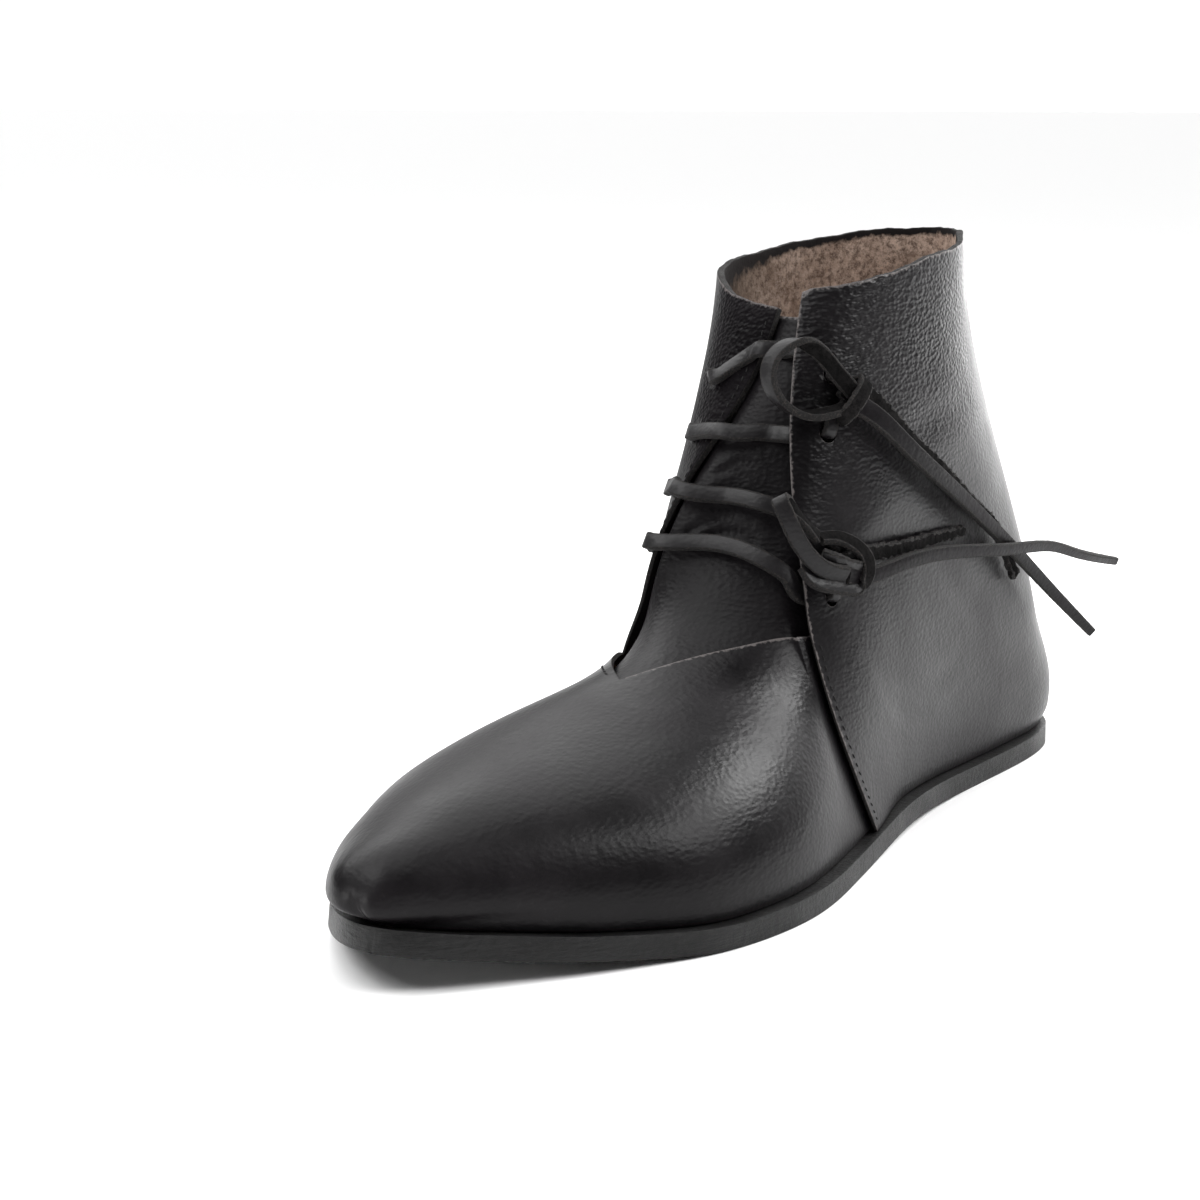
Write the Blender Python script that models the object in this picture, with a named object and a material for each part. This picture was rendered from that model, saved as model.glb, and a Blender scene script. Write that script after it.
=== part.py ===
"""Left ankle boot in thin leather: one-layer sole, vamp and quarters, tongue and two tied thongs."""

import math
from collections import namedtuple

import bmesh
import bpy
import numpy as np
from mathutils import Vector

MM = 0.001

# Driving sizes in millimetres. The toe points to -Y, the outer side of the foot to +X, the floor is Z = 0.
SOLE_LENGTH = 290.0
BALL_WIDTH = 95.0
INSTEP_HEIGHT = 47.5
BACK_HEIGHT = 139.5
TOE_SPRING = 8.0
ARCH_LIFT = 1.2
SOLE_THICKNESS = 5.2
SOLE_EDGE_ROUND = 0.7
FEATHER_INSET = 3.2
SEAT_GAP = 0.3

LEATHER = 2.0
TONGUE_THICKNESS = 1.6
INSOLE_THICKNESS = 2.0
INSOLE_CLEARANCE = 0.6
INSOLE_EDGE_ROUND = 0.3
SEAM_STEP = 1.7
SEAM_FADE = 0.10
FLAP_STAND = 3.4
FLAP_RISE = 0.16
FLAP_FADE = 0.17

TONGUE_GAP = 0.5
TONGUE_TUCK = 9.0
TONGUE_START = 0.035
TONGUE_UNDER_FLAP = 0.10
TONGUE_UNDER_EDGE = 0.035
TONGUE_DROP = 0.03

LACE_WIDTH = 4.0
LACE_THICKNESS = 1.8
LACE_CHAMFER = 0.4
LACE_GAP = 0.6
BAR_LIFT = 0.8
EDGE_RUN = 6.0
LACE_STEP = 5.0
HOLE_DIAMETER = 5.2
HOLE_CUT_DEPTH = 16.0

OUTER = 1
INNER = -1
HOLE_SETBACK = {OUTER: 9.0, INNER: 14.0}

# Sole outline: share of the length from the heel, then half widths as shares of the ball width.
SoleRow = namedtuple("SoleRow", "along outer inner")
SOLE_ROWS = (
    SoleRow(0.000, 0.000, 0.000),
    SoleRow(0.050, 0.255, 0.250),
    SoleRow(0.120, 0.336, 0.332),
    SoleRow(0.200, 0.346, 0.338),
    SoleRow(0.300, 0.340, 0.296),
    SoleRow(0.400, 0.360, 0.258),
    SoleRow(0.500, 0.406, 0.274),
    SoleRow(0.600, 0.463, 0.362),
    SoleRow(0.700, 0.500, 0.468),
    SoleRow(0.800, 0.448, 0.496),
    SoleRow(0.850, 0.366, 0.460),
    SoleRow(0.900, 0.262, 0.388),
    SoleRow(0.950, 0.136, 0.276),
    SoleRow(1.000, -0.053, 0.053),
)
ARCH_SPAN = (0.26, 0.58)
SPRING_FROM = 0.78
SPRING_POWER = 1.6

# Sections of the upper. Each stands on the feather line at "along" (share of the length from the heel) and ends at
# its top: "top_along" (same share), "side" (share of the ball width) and "height". "lean" tips the wall outward at
# the feather in degrees, "low" and "high" are the fullness of the lower and upper wall, "sweep" pulls the lower wall
# forward, "turn" goes from 0 (flat across the ridge) to 90 (straight down the shaft), "fall" is the shaft's slope.
Section = namedtuple("Section", "along top_along side height lean low sweep high turn fall")
# Ridge from the toe over the instep to the front of the collar; height is a share of the instep height.
RIDGE = (
    Section(0.989, 0.989, -0.053, 0.29, 24, 0.55, 0.00, 0.60, 0, 0.0),
    Section(0.978, 0.978, -0.053, 0.52, 22, 0.56, 0.00, 0.64, 0, 0.0),
    Section(0.952, 0.952, -0.048, 0.63, 18, 0.56, 0.00, 0.64, 0, 0.0),
    Section(0.897, 0.897, -0.036, 0.73, 15, 0.56, 0.00, 0.62, 0, 0.0),
    Section(0.810, 0.810, -0.020, 0.84, 13, 0.56, 0.00, 0.60, 0, 0.0),
    Section(0.703, 0.703, 0.000, 1.00, 12, 0.52, 0.00, 0.56, 0, 0.0),
    Section(0.648, 0.633, 0.010, 1.13, 11, 0.46, 0.02, 0.53, 0, 0.40),
    Section(0.606, 0.582, 0.020, 1.36, 10, 0.37, 0.06, 0.45, 4, 0.60),
    Section(0.579, 0.548, 0.026, 1.73, 9, 0.30, 0.11, 0.33, 22, 0.60),
    Section(0.560, 0.517, 0.030, 2.15, 7, 0.27, 0.16, 0.35, 48, 0.55),
    Section(0.545, 0.469, 0.032, 2.63, 5, 0.26, 0.20, 0.42, 65, 0.45),
)
THROAT_ROW = 5
# Collar from its front round to the back; height is a share of the back height.
COLLAR = {
    OUTER: (
        Section(0.522, 0.472, 0.115, 0.917, 4, 0.26, 0.22, 0.52, 86, 0.42),
        Section(0.462, 0.447, 0.225, 0.943, 6, 0.28, 0.12, 0.42, 90, 0.25),
        Section(0.368, 0.376, 0.290, 0.972, 9, 0.30, 0.04, 0.36, 90, 0.08),
        Section(0.250, 0.281, 0.269, 0.989, 11, 0.32, 0.00, 0.34, 90, 0.00),
        Section(0.140, 0.204, 0.174, 0.997, 12, 0.33, 0.00, 0.34, 90, 0.00),
        Section(0.056, 0.137, 0.076, 1.000, 13, 0.24, 0.00, 0.34, 90, -0.01),
        Section(0.011, 0.110, -0.042, 1.000, 15, 0.33, 0.00, 0.34, 90, -0.06),
    ),
    INNER: (
        Section(0.520, 0.452, -0.070, 0.903, 8, 0.26, 0.15, 0.50, 80, 0.42),
        Section(0.455, 0.405, -0.235, 0.926, 8, 0.28, 0.08, 0.42, 90, 0.25),
        Section(0.360, 0.325, -0.365, 0.945, 9, 0.30, 0.03, 0.36, 90, 0.08),
        Section(0.245, 0.238, -0.385, 0.962, 11, 0.32, 0.00, 0.34, 90, 0.00),
        Section(0.138, 0.168, -0.300, 0.983, 13, 0.33, 0.00, 0.34, 90, -0.04),
        Section(0.056, 0.124, -0.175, 0.996, 14, 0.33, 0.00, 0.34, 90, -0.06),
        Section(0.011, 0.110, -0.042, 1.000, 15, 0.33, 0.00, 0.34, 90, -0.06),
    ),
}
# Throat of the vamp: share of the way from its tip back to the quarter's edge, then distance from the ridge.
ThroatRow = namedtuple("ThroatRow", "back spread")
THROAT_ROWS = (
    ThroatRow(0.00, 0.0),
    ThroatRow(0.25, 9.6),
    ThroatRow(0.50, 18.0),
    ThroatRow(0.67, 21.4),
    ThroatRow(1.00, 22.5),
)
# The front edge of each quarter follows the section with this number, counted along ridge and collar.
FRONT_ROW = {OUTER: len(RIDGE), INNER: len(RIDGE) - 1}

# Lace crossings from the top down: height at the inner hole, on the ridge, at the flap's edge and at the outer hole,
# then how far it runs on from the ridge: 1 ends it at the flap's edge, 2 takes it under the flap to the outer hole.
CrossingRow = namedtuple("CrossingRow", "inner_hole ridge flap outer_hole reach")
CROSSINGS = (
    CrossingRow(108.0, 115.0, 116.0, 110.0, 2.0),
    CrossingRow(95.0, 97.0, 97.0, 96.7, 2.0),
    CrossingRow(82.0, 83.0, 80.0, 73.0, 2.0),
    CrossingRow(69.0, 72.5, 62.5, 60.5, 0.6),
)

# Knots: middle, long direction, outward direction, then half sizes along outward, long and cross directions.
Knot = namedtuple("Knot", "name middle long outward half_out half_long half_cross")
KNOTS = (
    Knot("upper_knot", (26.4, 1.7, 105.2), (0.15, 0.63, 0.77), (0.89, -0.42, 0.19), 3.0, 5.4, 3.2),
    Knot("lower_knot", (30.7, -10.3, 68.0), (0.10, 0.60, 0.79), (0.93, -0.30, 0.15), 3.0, 5.0, 4.6),
)

# Loops and free ends of the thongs: across is the direction of the width, the route runs through these points.
Thong = namedtuple("Thong", "name across start_width end_width route")
THONGS = (
    Thong("upper_loop", (0.72, -0.66, 0.22), 4.0, 4.0, (
        (24.6, -2.7, 103.4),
        (19.3, -7.7, 102.2),
        (15.6, -11.1, 104.4),
        (12.7, -12.8, 109.0),
        (12.0, -11.9, 113.8),
        (13.6, -9.0, 117.4),
        (16.4, -5.6, 118.6),
        (19.3, -3.0, 116.8),
        (21.8, -1.4, 113.8),
        (23.2, -0.7, 112.0),
    )),
    Thong("upper_tail_long", (0.0, 0.49, 0.87), 4.4, 3.0, (
        (28.8, 3.7, 103.1),
        (32.8, 15.3, 94.8),
        (34.8, 40.1, 80.8),
        (35.3, 60.2, 70.1),
        (35.7, 75.5, 61.7),
        (36.4, 101.8, 46.6),
        (38.0, 130.0, 30.1),
    )),
    Thong("upper_tail_short", (0.0, 0.49, 0.87), 4.0, 3.0, (
        (26.9, 6.6, 106.2),
        (30.4, 21.0, 96.0),
        (32.0, 38.0, 86.0),
        (32.4, 58.0, 74.6),
        (32.8, 75.0, 64.4),
        (33.6, 85.0, 52.0),
    )),
    Thong("lower_loop", (-0.18, -0.73, -0.67), 4.0, 4.0, (
        (29.3, -15.2, 69.5),
        (27.1, -20.2, 74.7),
        (24.9, -22.8, 80.0),
        (22.9, -24.2, 83.8),
        (21.0, -23.2, 84.4),
        (21.4, -20.4, 82.4),
        (23.4, -17.6, 78.6),
        (25.4, -14.8, 75.4),
    )),
    Thong("lower_tail_long", (0.0, 0.0, 1.0), 4.0, 2.2, (
        (32.7, -5.6, 65.0),
        (35.2, 12.9, 66.3),
        (37.0, 39.0, 65.3),
        (38.6, 69.4, 61.7),
        (38.8, 99.0, 58.1),
        (38.5, 114.0, 54.4),
        (38.0, 147.0, 47.2),
    )),
    Thong("lower_tail_short", (0.0, 0.0, 1.0), 4.0, 3.0, (
        (30.6, -5.2, 69.9),
        (32.4, 12.0, 69.2),
        (32.6, 30.0, 68.8),
        (32.9, 52.3, 68.3),
    )),
)

# Mesh and search settings.
TOE_COLUMNS = 18
THROAT_COLUMNS = 8
QUARTER_COLUMNS = 20
TOE_CROWDING = 1.3
FRONT_CROWDING = 1.2
LOWER_ROWS = 10
UPPER_ROWS = 7
TONGUE_COLUMNS = 14
TONGUE_ROWS = 7
SOLE_STATIONS = 44
OUTLINE_SAMPLES = 1600
HOLE_SIDES = 12
KNOT_SEGMENTS = 14
KNOT_RINGS = 8
HEEL_LEVEL = 0.5
NORMAL_REACH = 0.03
NORMAL_SHARE = 0.3
NORMAL_RISE = 0.01
TOE_GUARD = 0.012
SEARCH_SAMPLES = 201
EDGE_SEARCH_FROM = 0.3
EDGE_SAMPLES = 141
HOLE_SEARCH = 0.2
BAR_STEP = 3.0
BAR_EDGE_WEIGHT = 0.6
BAR_CLEAR_MOST = 0.7
BAR_NEAR_RIDGE = 0.85
BAR_STOPS = (0.0, 0.4, 0.8, 1.0)
LOOP_POINTS = 8


def spline(knots, values, at):
    """Natural cubic spline through the values at the knots, read at the given places."""
    knots = np.asarray(knots, float)
    values = np.asarray(values, float)
    at = np.asarray(at, float)
    count = len(knots)
    gaps = np.diff(knots)
    rises = np.diff(values) / gaps
    system = np.eye(count)
    right = np.zeros(count)
    for i in range(1, count - 1):
        system[i, i - 1 : i + 2] = gaps[i - 1], 2 * (gaps[i - 1] + gaps[i]), gaps[i]
        right[i] = 6 * (rises[i] - rises[i - 1])
    bend = np.linalg.solve(system, right)
    i = np.clip(np.searchsorted(knots, at) - 1, 0, count - 2)
    after = at - knots[i]
    before = knots[i + 1] - at
    cubic = (bend[i] * before**3 + bend[i + 1] * after**3) / (6 * gaps[i])
    line = (values[i] / gaps[i] - bend[i] * gaps[i] / 6) * before
    return cubic + line + (values[i + 1] / gaps[i] - bend[i + 1] * gaps[i] / 6) * after


def ease(share):
    share = np.clip(share, 0.0, 1.0)
    return share * share * (3 - 2 * share)


def length_y(along):
    return SOLE_LENGTH * (0.5 - np.asarray(along, float))


def sole_bottom(y):
    along = 0.5 - y / SOLE_LENGTH
    spring = TOE_SPRING * np.clip((along - SPRING_FROM) / (1 - SPRING_FROM), 0, 1) ** SPRING_POWER
    waist = np.clip((along - ARCH_SPAN[0]) / (ARCH_SPAN[1] - ARCH_SPAN[0]), 0, 1)
    return spring + ARCH_LIFT * np.sin(math.pi * waist) ** 2


def outline_sides(inset):
    """Each side of the sole outline, toe to heel: arc share, point and outward direction."""
    outer = [(row.outer * BALL_WIDTH, length_y(row.along)) for row in SOLE_ROWS]
    inner = [(-row.inner * BALL_WIDTH, length_y(row.along)) for row in SOLE_ROWS[1:-1]]
    ring = np.array(outer + inner[::-1])
    wrapped = np.vstack([ring, ring, ring, ring[:1]])
    steps = np.linalg.norm(np.diff(wrapped, axis=0), axis=1)
    knots = np.concatenate([[0.0], np.cumsum(np.sqrt(steps))])
    span = knots[len(ring)]
    places = np.linspace(span, 2 * span, OUTLINE_SAMPLES, endpoint=False)
    points = np.column_stack([spline(knots, wrapped[:, 0], places), spline(knots, wrapped[:, 1], places)])
    tangents = np.roll(points, -1, axis=0) - np.roll(points, 1, axis=0)
    normals = np.column_stack([-tangents[:, 1], tangents[:, 0]])
    normals *= -1 if normals[np.argmax(points[:, 0]), 0] < 0 else 1
    normals /= np.linalg.norm(normals, axis=1)[:, None]
    points = points - normals * inset
    heel = int(np.argmax(points[:, 1]))
    points = np.roll(points, -heel, axis=0)
    normals = np.roll(normals, -heel, axis=0)
    toe = int(np.argmin(points[:, 1]))
    sides = {}
    for side in (OUTER, INNER):
        if side == OUTER:
            order = np.arange(toe, -1, -1)
        else:
            order = np.concatenate([np.arange(toe, len(points)), [0]])
        line = points[order]
        arcs = np.concatenate([[0.0], np.cumsum(np.linalg.norm(np.diff(line, axis=0), axis=1))])
        sides[side] = (arcs / arcs[-1], line, normals[order])
    return sides


FEATHER = outline_sides(FEATHER_INSET)


def section_rows(side):
    return RIDGE + COLLAR[side]


def feather_arcs(side):
    """Arc share along the feather line where each section of this side stands."""
    arcs, line, _ = FEATHER[side]
    places = np.interp([float(length_y(row.along)) for row in section_rows(side)], line[:, 1], arcs)
    places[0] = 0.0
    places[-1] = 1.0
    return places


# Both sides share one running number q from the toe tip (0) to the back of the heel (1).
ROW_Q = (feather_arcs(OUTER) + feather_arcs(INNER)) / 2
FRONT_Q = {side: ROW_Q[FRONT_ROW[side]] for side in (OUTER, INNER)}
COLLAR_Q = ROW_Q[len(RIDGE) - 1]
THROAT_Q = ROW_Q[THROAT_ROW]


def column(side, name, q, split):
    """One column of the section table as a smooth function of q, with a corner at the collar's front if split."""
    values = [getattr(row, name) for row in section_rows(side)]
    if not split:
        return spline(ROW_Q, values, q)
    corner = len(RIDGE) - 1
    front = spline(ROW_Q[: corner + 1], values[: corner + 1], np.minimum(q, COLLAR_Q))
    back = spline(ROW_Q[corner:], values[corner:], np.maximum(q, COLLAR_Q))
    return np.where(q <= COLLAR_Q, front, back)


def top_heights(side, q):
    heights = [row.height * INSTEP_HEIGHT for row in RIDGE] + [row.height * BACK_HEIGHT for row in COLLAR[side]]
    corner = len(RIDGE) - 1
    front = spline(ROW_Q[: corner + 1], heights[: corner + 1], np.minimum(q, COLLAR_Q))
    back = spline(ROW_Q[corner:], heights[corner:], np.maximum(q, COLLAR_Q))
    return np.where(q <= COLLAR_Q, front, back)


def handles(side, q):
    """The four control points of the section at each q, shape (count, 4, 3)."""
    q = np.atleast_1d(np.asarray(q, float))
    arcs, line, normals = FEATHER[side]
    arc = spline(ROW_Q, feather_arcs(side), q)
    foot_x = np.interp(arc, arcs, line[:, 0])
    foot_y = np.interp(arc, arcs, line[:, 1])
    out_x = np.interp(arc, arcs, normals[:, 0])
    out_y = np.interp(arc, arcs, normals[:, 1])
    foot_z = sole_bottom(foot_y) + SOLE_THICKNESS + SEAT_GAP
    foot = np.column_stack([foot_x, foot_y, foot_z])
    top_x = column(side, "side", q, True) * BALL_WIDTH
    top_y = length_y(column(side, "top_along", q, True))
    top_z = np.maximum(top_heights(side, q), foot_z)
    top = np.column_stack([top_x, top_y, top_z])
    toe = q <= 1e-9
    top[toe] = foot[toe]
    height = top[:, 2] - foot[:, 2]
    half = np.abs(foot_x - top[:, 0])
    lean = np.radians(column(side, "lean", q, False))
    low = column(side, "low", q, False) * height
    sweep = column(side, "sweep", q, False) * height
    up = np.column_stack([out_x * np.sin(lean), out_y * np.sin(lean), np.cos(lean)])
    lower = foot + up * low[:, None]
    lower[:, 1] -= sweep
    turn = np.radians(column(side, "turn", q, True))
    high = column(side, "high", q, True)
    fall = column(side, "fall", q, True)
    across = side * high * half * np.cos(turn)
    down = high * height * np.sin(turn)
    upper = top + np.column_stack([across, -fall * down, -down])
    return np.stack([foot, lower, upper, top], axis=1)


def wall(side, q, v):
    """Points of the upper's outer face for each pair of q and v (0 at the feather, 1 at ridge or collar)."""
    q, v = np.broadcast_arrays(np.asarray(q, float), np.asarray(v, float))
    control = handles(side, q.ravel())
    v = v.ravel()
    weights = np.column_stack([(1 - v) ** 3, 3 * v * (1 - v) ** 2, 3 * v**2 * (1 - v), v**3])
    return np.einsum("nk,nkd->nd", weights, control).reshape(q.shape + (3,))


def wall_normal(side, q, v):
    """Outward direction of the upper's outer face, evened out over a few millimetres."""
    q, v = np.broadcast_arrays(np.asarray(q, float), np.asarray(v, float))
    q = np.clip(q, TOE_GUARD, 1.0)
    reach_q = np.minimum(NORMAL_SHARE * q, NORMAL_REACH)
    high_q = np.clip(q + reach_q, 0.0, 1.0)
    low_v = np.clip(v - NORMAL_RISE, 0.0, 1.0)
    high_v = np.clip(v + NORMAL_RISE, 0.0, 1.0)
    along = wall(side, high_q, v) - wall(side, q - reach_q, v)
    upward = wall(side, q, high_v) - wall(side, q, low_v)
    normal = np.cross(along, upward) * side
    return normal / np.maximum(np.linalg.norm(normal, axis=-1, keepdims=True), 1e-12)


def mirrored_normal(side, q, v, on_ridge, at_heel):
    """Outward direction, made the same on both sides where the two sides meet."""
    normal = wall_normal(side, q, v)
    other = wall_normal(-side, q, v)
    shared = normal + other
    shared /= np.maximum(np.linalg.norm(shared, axis=-1, keepdims=True), 1e-12)
    meet = (on_ridge | at_heel)[..., None]
    return np.where(meet, shared, normal)


def edge_share(side, q, spread):
    """Height share where the section stands "spread" away from the ridge's middle line."""
    q = np.atleast_1d(np.asarray(q, float))
    spread = np.broadcast_to(spread, q.shape)
    shares = np.linspace(EDGE_SEARCH_FROM, 1.0, EDGE_SAMPLES)
    found = []
    for place, width in zip(q, spread):
        ridge_x = column(side, "side", np.array([min(place, COLLAR_Q)]), True)[0] * BALL_WIDTH
        away = side * (wall(side, np.full(shares.shape, place), shares)[:, 0] - ridge_x)
        found.append(np.interp(-width, -away, shares) if width > 0 else 1.0)
    return np.array(found)


def throat_spread(side, q):
    back = np.clip((q - THROAT_Q) / (FRONT_Q[side] - THROAT_Q), 0, 1)
    return spline([row.back for row in THROAT_ROWS], [row.spread for row in THROAT_ROWS], back)


def add_mesh(name, faces, material, collection):
    """Object from faces given as corner points in millimetres; corners that coincide are joined."""
    mesh = bpy.data.meshes.new(name)
    body = bmesh.new()
    corners = {}
    for face in faces:
        ring = []
        for point in face:
            key = tuple(np.round(point, 3) + 0.0)
            if key not in corners:
                corners[key] = body.verts.new([value * MM for value in key])
            if corners[key] not in ring:
                ring.append(corners[key])
        if len(ring) > 2:
            body.faces.new(ring)
    bmesh.ops.recalc_face_normals(body, faces=body.faces)
    body.to_mesh(mesh)
    body.free()
    mesh.materials.append(material)
    thing = bpy.data.objects.new(name, mesh)
    collection.objects.link(thing)
    return thing


def grid_faces(points):
    faces = []
    for i in range(points.shape[0] - 1):
        for j in range(points.shape[1] - 1):
            faces.append((points[i, j], points[i + 1, j], points[i + 1, j + 1], points[i, j + 1]))
    return faces


def rim_faces(first, second):
    """Strip between two lines of points."""
    return [(first[k], first[k + 1], second[k + 1], second[k]) for k in range(len(first) - 1)]


def plate(name, inset, lift, thickness, edge_round, material, collection):
    """Flat piece on the sole's outline that follows toe spring and arch."""
    sides = outline_sides(inset)
    top_y = sides[OUTER][1][0, 1]
    back_y = sides[OUTER][1][-1, 1]
    turns = np.linspace(0, math.pi, SOLE_STATIONS + 1)
    stations = top_y + (back_y - top_y) * (1 - np.cos(turns)) / 2
    profile = ((edge_round, 0.0), (0.0, edge_round), (0.0, thickness - edge_round), (edge_round, thickness))
    rings = {}
    for side in (OUTER, INNER):
        _, line, normals = sides[side]
        x = np.interp(stations, line[:, 1], line[:, 0])
        out_x = np.interp(stations, line[:, 1], normals[:, 0])
        out_y = np.interp(stations, line[:, 1], normals[:, 1])
        rows = []
        for back, rise in profile:
            y = stations - out_y * back
            rows.append(np.column_stack([x - out_x * back, y, sole_bottom(stations) + lift + rise]))
        for row in rows:
            row[[0, -1], 0] = (sides[OUTER][1][[0, -1], 0] + sides[INNER][1][[0, -1], 0]) / 2
        rings[side] = rows
    faces = []
    for side in (OUTER, INNER):
        for low, high in zip(rings[side][:-1], rings[side][1:]):
            faces += rim_faces(low, high)
    for level in (0, -1):
        faces += rim_faces(rings[OUTER][level], rings[INNER][level])
    return add_mesh(name, faces, material, collection)


def quarter_offsets(side, q, v, front_v):
    """How far the quarter's inner and outer faces stand off the plain wall."""
    behind = q - FRONT_Q[side]
    step = SEAM_STEP * (1 - ease(behind / SEAM_FADE))
    above = ease((v - front_v) / FLAP_RISE)
    stand = FLAP_STAND * above * (1 - ease(behind / FLAP_FADE)) if side == OUTER else np.zeros_like(above)
    return stand - LEATHER, stand + step * (1 - above)


def upper_faces(side):
    rows = np.linspace(0, 1, LOWER_ROWS + 1)
    before = np.linspace(0, 1, TOE_COLUMNS + 1) ** TOE_CROWDING * THROAT_Q
    after = np.linspace(THROAT_Q, FRONT_Q[side], THROAT_COLUMNS + 1)[1:]
    q = np.concatenate([before, after])
    tops = np.where(q <= THROAT_Q, 1.0, edge_share(side, q, throat_spread(side, q)))
    v = rows[None, :] * tops[:, None]
    q_grid = np.broadcast_to(q[:, None], v.shape)
    ridge = (q_grid <= THROAT_Q + 1e-9) & (v >= 1 - 1e-9)
    face = wall(side, q_grid, v)
    normal = mirrored_normal(side, q_grid, v, ridge, np.zeros_like(ridge))
    normal[0] = (0, -1, 0)
    vamp_out = face
    vamp_in = face - normal * LEATHER
    vamp_in[:, 0, 2] = face[:, 0, 2]

    front_v = tops[-1]
    back = np.linspace(0, 1, QUARTER_COLUMNS + 1) ** FRONT_CROWDING
    q = FRONT_Q[side] + (1 - FRONT_Q[side]) * back
    level = front_v + (HEEL_LEVEL - front_v) * ease(back)
    high_rows = np.linspace(0, 1, UPPER_ROWS + 1)[1:]
    v_low = level[:, None] * rows[None, :]
    v_high = level[:, None] + (1 - level)[:, None] * high_rows[None, :]
    v_grid = np.hstack([v_low, v_high])
    q_grid = np.broadcast_to(q[:, None], v_grid.shape)
    face = wall(side, q_grid, v_grid)
    heel = q_grid >= 1 - 1e-9
    normal = mirrored_normal(side, q_grid, v_grid, np.zeros_like(heel), heel)
    normal[heel, 0] = 0.0
    inner_off, outer_off = quarter_offsets(side, q_grid, v_grid, front_v)
    quarter_out = face + normal * outer_off[..., None]
    quarter_in = face + normal * inner_off[..., None]
    quarter_out[:, 0, 2] = face[:, 0, 2]
    quarter_in[:, 0, 2] = face[:, 0, 2]
    quarter_in[0, : LOWER_ROWS + 1] = vamp_in[-1]

    throat = TOE_COLUMNS
    corner = LOWER_ROWS
    faces = grid_faces(vamp_out) + grid_faces(vamp_in) + grid_faces(quarter_out) + grid_faces(quarter_in)
    faces += rim_faces(vamp_out[-1], quarter_out[0, : corner + 1])
    faces += rim_faces(vamp_out[:, 0], vamp_in[:, 0])
    faces += rim_faces(vamp_out[throat:, -1], vamp_in[throat:, -1])
    faces += rim_faces(quarter_out[:, -1], quarter_in[:, -1])
    bottom = rim_faces(quarter_out[:, 0], quarter_in[:, 0])
    front = rim_faces(quarter_out[0, corner:], quarter_in[0, corner:])
    bottom[0] = bottom[0] + (vamp_out[-1, 0],)
    front[0] = front[0] + (vamp_out[-1, -1],)
    return faces + bottom + front


def tongue_faces():
    """Both halves of the tongue, under the vamp, the inner edge and the outer flap."""
    faces = []
    low_q = THROAT_Q - TONGUE_START
    for side, reach in ((OUTER, TONGUE_UNDER_FLAP), (INNER, TONGUE_UNDER_EDGE)):
        q_ridge = np.linspace(low_q, COLLAR_Q, TONGUE_COLUMNS + 1)
        q_under = np.linspace(COLLAR_Q, FRONT_Q[side] + reach, TONGUE_COLUMNS // 2 + 1)[1:]
        q = np.concatenate([q_ridge, q_under])
        width = throat_spread(side, q) + TONGUE_TUCK
        lows = edge_share(side, np.minimum(q, FRONT_Q[side]), width)
        tops = 1 - TONGUE_DROP * ease((q - COLLAR_Q) / TONGUE_UNDER_EDGE)
        rows = np.linspace(0, 1, TONGUE_ROWS + 1)
        v = lows[:, None] + (tops - lows)[:, None] * rows[None, :]
        q_grid = np.broadcast_to(q[:, None], v.shape)
        ridge = (q_grid <= COLLAR_Q) & (v >= 1 - 1e-9)
        normal = mirrored_normal(side, q_grid, v, ridge, np.zeros_like(ridge))
        face = wall(side, q_grid, v)
        front = face - normal * (LEATHER + TONGUE_GAP)
        back = face - normal * (LEATHER + TONGUE_GAP + TONGUE_THICKNESS)
        faces += grid_faces(front) + grid_faces(back)
        faces += rim_faces(front[:, 0], back[:, 0])
        faces += rim_faces(front[0], back[0])
        faces += rim_faces(front[-1], back[-1])
        over = np.flatnonzero(q >= COLLAR_Q - 1e-9)[0]
        faces += rim_faces(front[over:, -1], back[over:, -1])
    return faces


def share_at_height(side, q, height):
    """Height share where the section at q reaches the given height."""
    shares = np.linspace(0, 1, SEARCH_SAMPLES)
    return float(np.interp(height, wall(side, np.full(shares.shape, q), shares)[:, 2], shares))


def hole_place(side, height):
    """Running number and height share of a lace hole, set back from the quarter's front edge."""
    edge_v = share_at_height(side, FRONT_Q[side], height)
    places = np.linspace(FRONT_Q[side], FRONT_Q[side] + HOLE_SEARCH, SEARCH_SAMPLES)
    points = wall(side, places, np.full(places.shape, edge_v))
    run = np.concatenate([[0.0], np.cumsum(np.linalg.norm(np.diff(points, axis=0), axis=1))])
    q = float(np.interp(HOLE_SETBACK[side], run, places))
    return q, share_at_height(side, q, height)


def cut_holes(upper, cutters):
    for row in CROSSINGS:
        for side, height in ((OUTER, row.outer_hole), (INNER, row.inner_hole)):
            q, v = hole_place(side, height)
            point = wall(side, q, v)
            normal = wall_normal(side, q, v)
            radius = HOLE_DIAMETER / 2 * MM
            bpy.ops.mesh.primitive_cylinder_add(vertices=HOLE_SIDES, radius=radius, depth=HOLE_CUT_DEPTH * MM)
            cutter = bpy.context.object
            cutter.name = "lace_hole"
            cutter.location = point * MM
            cutter.rotation_euler = Vector(normal).to_track_quat("Z", "Y").to_euler()
            cutter.hide_render = True
            cutter.display_type = "WIRE"
            for home in list(cutter.users_collection):
                home.objects.unlink(cutter)
            cutters.objects.link(cutter)
            cut = upper.modifiers.new("lace_hole", "BOOLEAN")
            cut.operation = "DIFFERENCE"
            cut.solver = "EXACT"
            cut.object = cutter


def smooth_route(points, step):
    """Evenly spaced points on a smooth curve through the given ones."""
    points = np.asarray(points, float)
    knots = np.concatenate([[0.0], np.cumsum(np.linalg.norm(np.diff(points, axis=0), axis=1))])
    count = max(6, int(round(knots[-1] / step)))
    places = np.linspace(0, knots[-1], count + 1)
    return np.column_stack([spline(knots, points[:, k], places) for k in range(points.shape[1])])


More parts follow.
